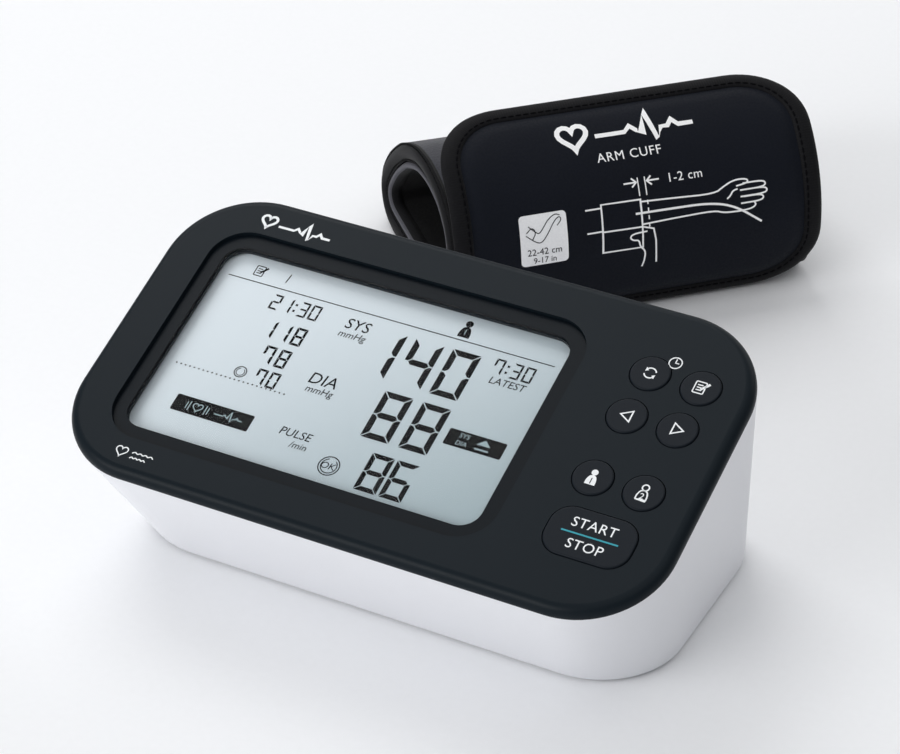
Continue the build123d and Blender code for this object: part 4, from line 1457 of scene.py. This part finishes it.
class AddFlapPrint(bpy.types.Operator):
    """Print the flap: a large heartbeat mark, the size of cuff and how to put it on"""

    bl_idname = "bpm.add_flap_print"
    bl_label = "Add Flap Print"

    def execute(self, context):
        cuff = looks("bpm_cuff")
        ink = printed_ink("Flap Ink", cuff.ink, 0.6)
        line = cuff.print_line / MM
        groups = {
            "flap_mark": self.large_mark(),
            "flap_words": words("ARM CUFF", 3.1, (-1.0, 60.4), spacing=1.1)
            + words("1-2 cm", 3.0, (16.5, 50.4), spacing=1.05),
            "flap_drawing": self.drawing(line),
        }
        for name, polygons in groups.items():
            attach(marks(name, polygons, flap_print, 0.04, 0.06, ink, cell=4.0), "cuff_flap")
        return {"FINISHED"}

    def large_mark(self):
        drawn = stroke(heart((-18.6, 68.6), 10.0), 1.7, closed=True)
        return drawn + stroke(pulse_line(-11.0, 68.2, 34.6, 11.0), 1.5)

    def drawing(self, line):
        """A sleeve on an arm, with its hose and the gap to leave above the elbow."""
        drawn = []
        for x in (0.0, 2.5):
            drawn += stroke([(x, 45.8), (x, 52.0)], line * 0.7)
        for tip, tail, spread in ((-0.6, -5.0, -1.6), (3.1, 7.4, 1.6)):
            drawn += stroke([(tail, 50.5), (tip, 50.5)], line)
            drawn += stroke([(tip + spread, 52.0), (tip, 50.5), (tip + spread, 49.0)], line)
        drawn += stroke([(-13.8, 44.9), (0.0, 44.7), (0.0, 28.1), (-14.0, 28.2)], line, closed=True)
        drawn += stroke([(-13.9, 35.6), (0.0, 35.4), (3.9, 34.2), (4.6, 30.0), (4.8, 21.6)], line)
        for level in (43.8, 35.9):
            drawn += stroke([(-19.4, level), (-14.0, level)], line)
        for low in (35.0, 37.6, 40.2, 42.8):
            drawn += stroke([(2.5, low), (2.5, low + 1.4)], line * 0.8)
        arm_top = [(0.0, 43.9), (12.0, 43.4), (26.2, 42.6), (29.6, 44.6), (33.5, 46.2), (38.0, 46.0),
                   (38.4, 44.6), (34.0, 44.0)]
        arm_low = [(0.0, 36.2), (13.0, 36.6), (25.7, 36.9), (29.0, 35.6), (34.7, 35.4)]
        drawn += stroke(rounded_line(arm_top), line)
        drawn += stroke(rounded_line(arm_low), line)
        drawn += stroke(rounded_line([(34.7, 35.4), (38.8, 35.6), (40.6, 36.6), (40.0, 37.8)]), line)
        for level, tip in ((37.9, 42.4), (40.2, 43.8), (42.4, 43.4)):
            finger = [(35.2, level), (tip, level), (tip + 1.2, level + 1.1), (tip, level + 2.2)]
            finger.append((36.4, level + 2.2))
            drawn += stroke(rounded_line(finger), line)
        drawn += stroke(rounded_line([(30.4, 40.2), (31.6, 41.0), (32.6, 42.6), (34.4, 43.0)]), line)
        hose = rounded_line([(-2.1, 40.1), (10.0, 40.0), (24.0, 39.8), (33.0, 37.4), (42.4, 30.5)], 3)
        drawn += stroke(hose, line * 1.35)
        hand = [(1.6, 33.6), (-3.4, 33.4), (-4.6, 32.2), (-3.4, 31.0), (-1.4, 30.9), (-1.0, 28.4),
                (0.9, 26.6), (0.6, 23.0), (-0.2, 20.6)]
        return drawn + stroke(rounded_line(hand), line)


class AddSizeLabel(bpy.types.Operator):
    """Add the pale size label and its print"""

    bl_idname = "bpm.add_size_label"
    bl_label = "Add Size Label"

    def execute(self, context):
        cuff = looks("bpm_cuff")
        outline = [rounded_box((-34.4, 36.6), (16.4, 17.4), 1.4, 4)]
        label = marks("size_label", outline, flap_print, 0.03, 0.14,
                      printed_ink("Label Film", cuff.label, 0.5), cell=2.5)
        arm = rounded_line([(-40.6, 38.6), (-37.4, 36.0), (-35.4, 35.4), (-33.4, 37.6), (-30.4, 42.4),
                            (-28.6, 43.6), (-27.9, 42.4), (-29.6, 40.6)])
        upper = rounded_line([(-39.6, 41.6), (-37.2, 39.4), (-36.0, 38.6), (-34.6, 40.2), (-32.6, 43.0),
                              (-30.0, 44.6), (-28.4, 43.9)])
        band = rounded_line([(-40.4, 39.4), (-38.2, 41.2), (-37.0, 39.2), (-38.4, 37.0)])
        drawn = stroke(arm, 0.3) + stroke(upper, 0.3) + stroke(band, 0.3)
        drawn += words("22-42 cm", 2.2, (-34.4, 32.6)) + words("9-17 in", 2.0, (-34.4, 29.6))
        ink = marks("size_label_print", drawn, flap_print, 0.19, 0.05,
                    printed_ink("Label Ink", cuff.label_ink), cell=2.5)
        for piece in (label, ink):
            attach(piece, "cuff_flap")
        return {"FINISHED"}


class FinishPort(bpy.types.Operator):
    """Finish the moulded air port on the sleeve"""

    bl_idname = "bpm.finish_port"
    bl_label = "Finish Air Port"

    def execute(self, context):
        paint(moulded("Port Plastic", screen_colour(40, 40, 43), 0.5), "cuff_air_port")
        return {"FINISHED"}


# ---------------------------------------------------------------- panel and registration
STEPS = (
    AddStage, FinishCase, FinishButtons, FinishDisplay, FinishBoard, FinishPower, FinishAir, FinishPort,
    AddDisplayBorder, AddDisplayFigures, AddButtonSymbols, AddFaceMarks,
    AddSleeve, AddSleeveBindings, AddFlap, AddFlapPrint, AddSizeLabel,
)
GROUPS = {"bpm_stage": StageLooks, "bpm_monitor": MonitorLooks, "bpm_cuff": CuffLooks}


class MonitorPanel(bpy.types.Panel):
    """Lists the steps that build the monitor and its cuff"""

    bl_idname = "VIEW3D_PT_blood_pressure_monitor"
    bl_label = "Blood Pressure Monitor"
    bl_space_type = "VIEW_3D"
    bl_region_type = "UI"
    bl_category = "Monitor"

    def draw(self, context):
        for group, kind in GROUPS.items():
            box = self.layout.box()
            for name in kind.__annotations__:
                box.prop(getattr(context.scene, group), name)
        for step in STEPS:
            self.layout.operator(step.bl_idname)


def register():
    for kind in (*GROUPS.values(), *STEPS, MonitorPanel):
        bpy.utils.register_class(kind)
    for name, kind in GROUPS.items():
        setattr(bpy.types.Scene, name, PointerProperty(type=kind))


def unregister():
    for name in GROUPS:
        delattr(bpy.types.Scene, name)
    for kind in reversed((*GROUPS.values(), *STEPS, MonitorPanel)):
        bpy.utils.unregister_class(kind)


def main():
    register()
    for step in STEPS:
        getattr(bpy.ops.bpm, step.bl_idname.split(".")[1])()


if __name__ == "__main__":
    main()
